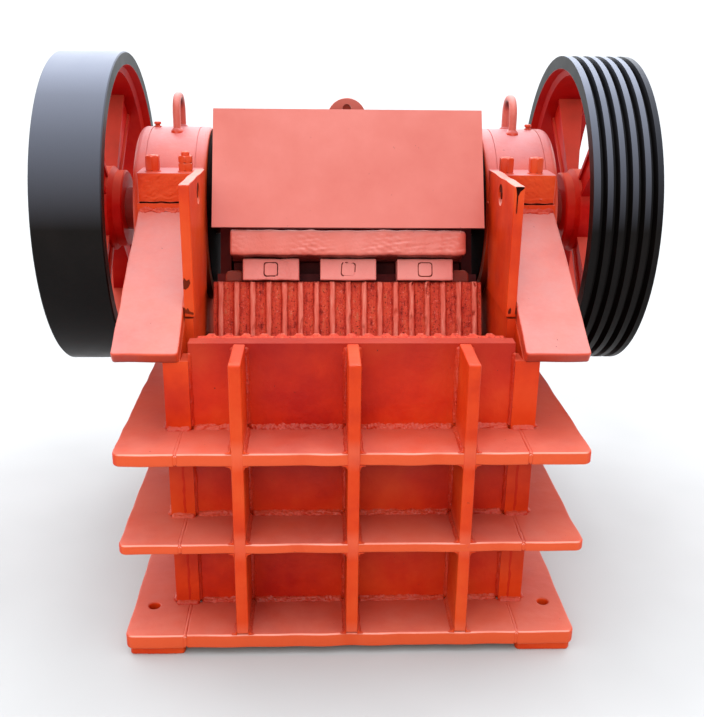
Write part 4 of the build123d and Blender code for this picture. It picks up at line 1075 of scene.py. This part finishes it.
JOINT_Z = SEAT_Z + 2.4
lines = [grime_line((side * LUG_IN, y, JOINT_Z), (side * LUG_OUT, y, JOINT_Z), UP, (0, way, 0), 4.6, 0.7, 31 + side)
         for side, word in SIDES for y, way in LUG_FACES]
make_piece("joint_grime", lines, shadow_grime, sharp=60)

# %% [markdown]
# A thin, nearly black ring round the shaft on the inner face of each housing is painted shade. It is a section
# of six points carried round a circle, because the housing has one finish for all its faces.

# %% Painted shade inside the housings
turn = np.linspace(0, 2 * math.pi, 97)[:-1, None]
RING_R = np.array([77.0, 160.0, HOUSING_R - 4, HOUSING_R - 4, 160.0, 77.0])[None, :]
RING_X = np.array([385.8, 385.5, 385.8, 387.4, 387.4, 387.4])[None, :]
rings = [np.stack([side * RING_X + 0 * turn, SHAFT_Y + RING_R * np.cos(turn), SHAFT_Z + RING_R * np.sin(turn)], -1)
         for side in (-1, 1)]
make_piece("painted_shade_inside_housings", [(ring, True, True) for ring in rings], shadow_grime)

# %% [markdown]
# A groove runs down each column between the flanges, where the paint lies thin. It is the strip of the joint
# lines again, wider and flatter, in the thin dark paint.

# %% Grooves down the columns
GROOVE_X, GROOVE_Y = 411, COLUMN_Y - 0.1
grooves = [grime_line((side * GROOVE_X, GROOVE_Y, low), (side * GROOVE_X, GROOVE_Y, high), RIGHT, FRONT, 6.0, 0.35,
                      40 + side + low) for side, word in SIDES for low, high in ((318, 505), (66, 276))]
make_piece("column_grooves", grooves, seam_enamel, sharp=60)

# %% [markdown]
# The other old marks are thin plates with a ragged outline: the crack in the right guard, the rust on the
# guards' feet and the dirt in the lifting eye. A drawn outline gives each its own shape, which noise in
# a material would not.

# %% Rust, the crack and the lifting eye
SPOTS = {
    "guard_crack": [(382.5, 1110), (384.5, 1102), (386.5, 1089), (387, 1047), (389, 1047), (389.5, 1088), (394, 1099),
                    (403, 1106), (403, 1110)],
    "rust_spot_right": [(384, 801), (387, 799), (391, 801), (392, 810), (390, 817), (386, 811), (384, 806)],
    "rust_sliver_right": [(401, 799), (404.4, 799), (404.4, 833), (403, 830)],
    "rust_spot_left": [(-404.4, 862), (-399, 860), (-392, 866), (-387, 876), (-389, 886), (-396, 882), (-402, 890),
                       (-404.4, 880)],
    "rust_foot_left": [(-404.4, 801), (-395, 799), (-383, 797), (-382, 802), (-392, 806), (-396, 815), (-401, 810),
                       (-404.4, 818)],
}
GUARD_FRONT, EYE_FRONT = (0, 252.2, 0), (0, 760, 0)
for word, outline in SPOTS.items():
    plate(word, outline, 2.4, GUARD_FRONT, RIGHT, UP, shadow_grime if word == "guard_crack" else rust_and_shadow_brown,
          radii=[0.5] * len(outline), edge=0.15, wander=0.4, drag=0.1, seed=len(outline))
EYE_R, EYE_Z = 12.3, 1246
circle = [(EYE_R * math.cos(a), EYE_Z + EYE_R * math.sin(a)) for a in np.linspace(0, 2 * math.pi, 13)[:-1]]
plate("dirt_in_lifting_eye", circle, 6.0, EYE_FRONT, RIGHT, UP, shoulder_enamel, radii=[2] * 12, edge=0.8,
      wander=0.2, body="jaw", seed=9)

# %% [markdown]
# Each cross flange is butted against the side flanges, and the seam bead between them lies on the surface. Its
# profile is a low dome that sinks a little into the plate, so no gap shows under it.

# %% Seam beads
def seam(start, end, wide_way, out_way, wide=9.0, tall=0.8, seed=1):
    """Low dome along a seam: half-ellipse profile with ripples along it."""
    start, end, wide_way, out_way = arrays(start, end, wide_way, out_way)
    long = float(np.linalg.norm(end - start))
    u = np.linspace(0, long, max(8, int(long / 2.2)))[:, None]
    t = np.linspace(0, math.pi, 9)[None, :]
    ends = np.clip(np.minimum(u, long - u) / 4, 0.1, 1)
    swell = (1 + 0.16 * rough(16, u + 0 * t, 3 * t + 0 * u, seed=seed)) * ends
    ripple = 1 + 0.25 * np.sin(2 * math.pi * u / 5 + 1.2 * np.cos(t))
    points = start + u[..., None] * (end - start) / long + (wide / 2 * np.cos(t) * swell)[..., None] * wide_way
    return points + ((tall * ripple * swell + 3.2) * np.sin(t) - 3.2)[..., None] * out_way, False, True


trial = seam((0, 0, 0), (100, 0, 0), (0, 1, 0), (0, 0, 1))[0]
print("a seam stands", round(float(trial[..., 2].max()), 2), "mm proud")

# %% [markdown]
# The remaining welds: along the side walls, round the columns, under the arms, beside the guard plates, at the
# seams of the flanges and behind. One loop makes both sides, because the frame is the same left and right.

# %% Remaining welds
WALL_Y0, WALL_Y1, ARM_T = 146, 1196, 34.2
side_welds, seams, seed = [], [], 500
for side, word in SIDES:
    outwards, inwards = (side, 0, 0), (-side, 0, 0)
    wall, column, joint = side * SIDE_OUT, side * COLUMN_IN, side * SEAM_X
    rear_x0, rear_x1 = (-400, -4) if side < 0 else (4, 400)
    for top, thick in LEVELS:
        seed += 3
        low = top - thick
        side_welds += [weld((wall, WALL_Y0, top), (wall, WALL_Y1, top), outwards, UP, seed=seed),
                       weld((column, COLUMN_Y, top), (wall, COLUMN_Y, top), FRONT, UP, 9, seed=seed + 1)]
        if top > LOW:
            side_welds.append(weld((wall, WALL_Y0, low), (wall, WALL_Y1, low), outwards, DOWN, seed=seed + 2))
        seams += [seam((joint, 4, top - 0.4), (joint, 139, top - 0.4), RIGHT, UP, seed=seed),
                  seam((joint, 2.2, low + 3), (joint, 2.2, top - 3), RIGHT, FRONT, tall=0.3, seed=seed + 1),
                  seam((joint, 1201, top - 0.4), (joint, 1296, top - 0.4), RIGHT, UP, seed=seed + 2)]
        side_welds.append(weld((rear_x0, REAR_WALL_BACK, top), (rear_x1, REAR_WALL_BACK, top), BACK, UP, seed=seed + 5))
    for low, high in ((60, 281), (311, 509), (545, 735)):
        side_welds.append(weld((column, WALL_Y, low), (column, WALL_Y, high), inwards, FRONT, 7, seed=seed + low))
    arm_low, arm_high = (np.array((wall, y, slope_z(y) - ARM_T)) for y in (ARM_Y0 + 30, ARM_Y1 - 6))
    guard_low, guard_high = ((side * 405, y, slope_z(y)) for y in (256, 572))
    end_in, end_out = ((side * x, ARM_Y1, slope_z(ARM_Y1) - 1) for x in (408, 561))
    side_welds += [weld(arm_low, arm_high, outwards, -OFF_SLOPE, 11, seed=seed + 9),
                   weld(guard_low, guard_high, outwards, UP, 5, seed=seed + 10),
                   weld(end_in, end_out, -UPHILL, UP, 8.5, wild=0.3, seed=seed + 11)]
make_piece("side_welds", side_welds, weld_enamel, sharp=60)
make_piece("flange_seam_welds", seams, flange_enamel, sharp=60)
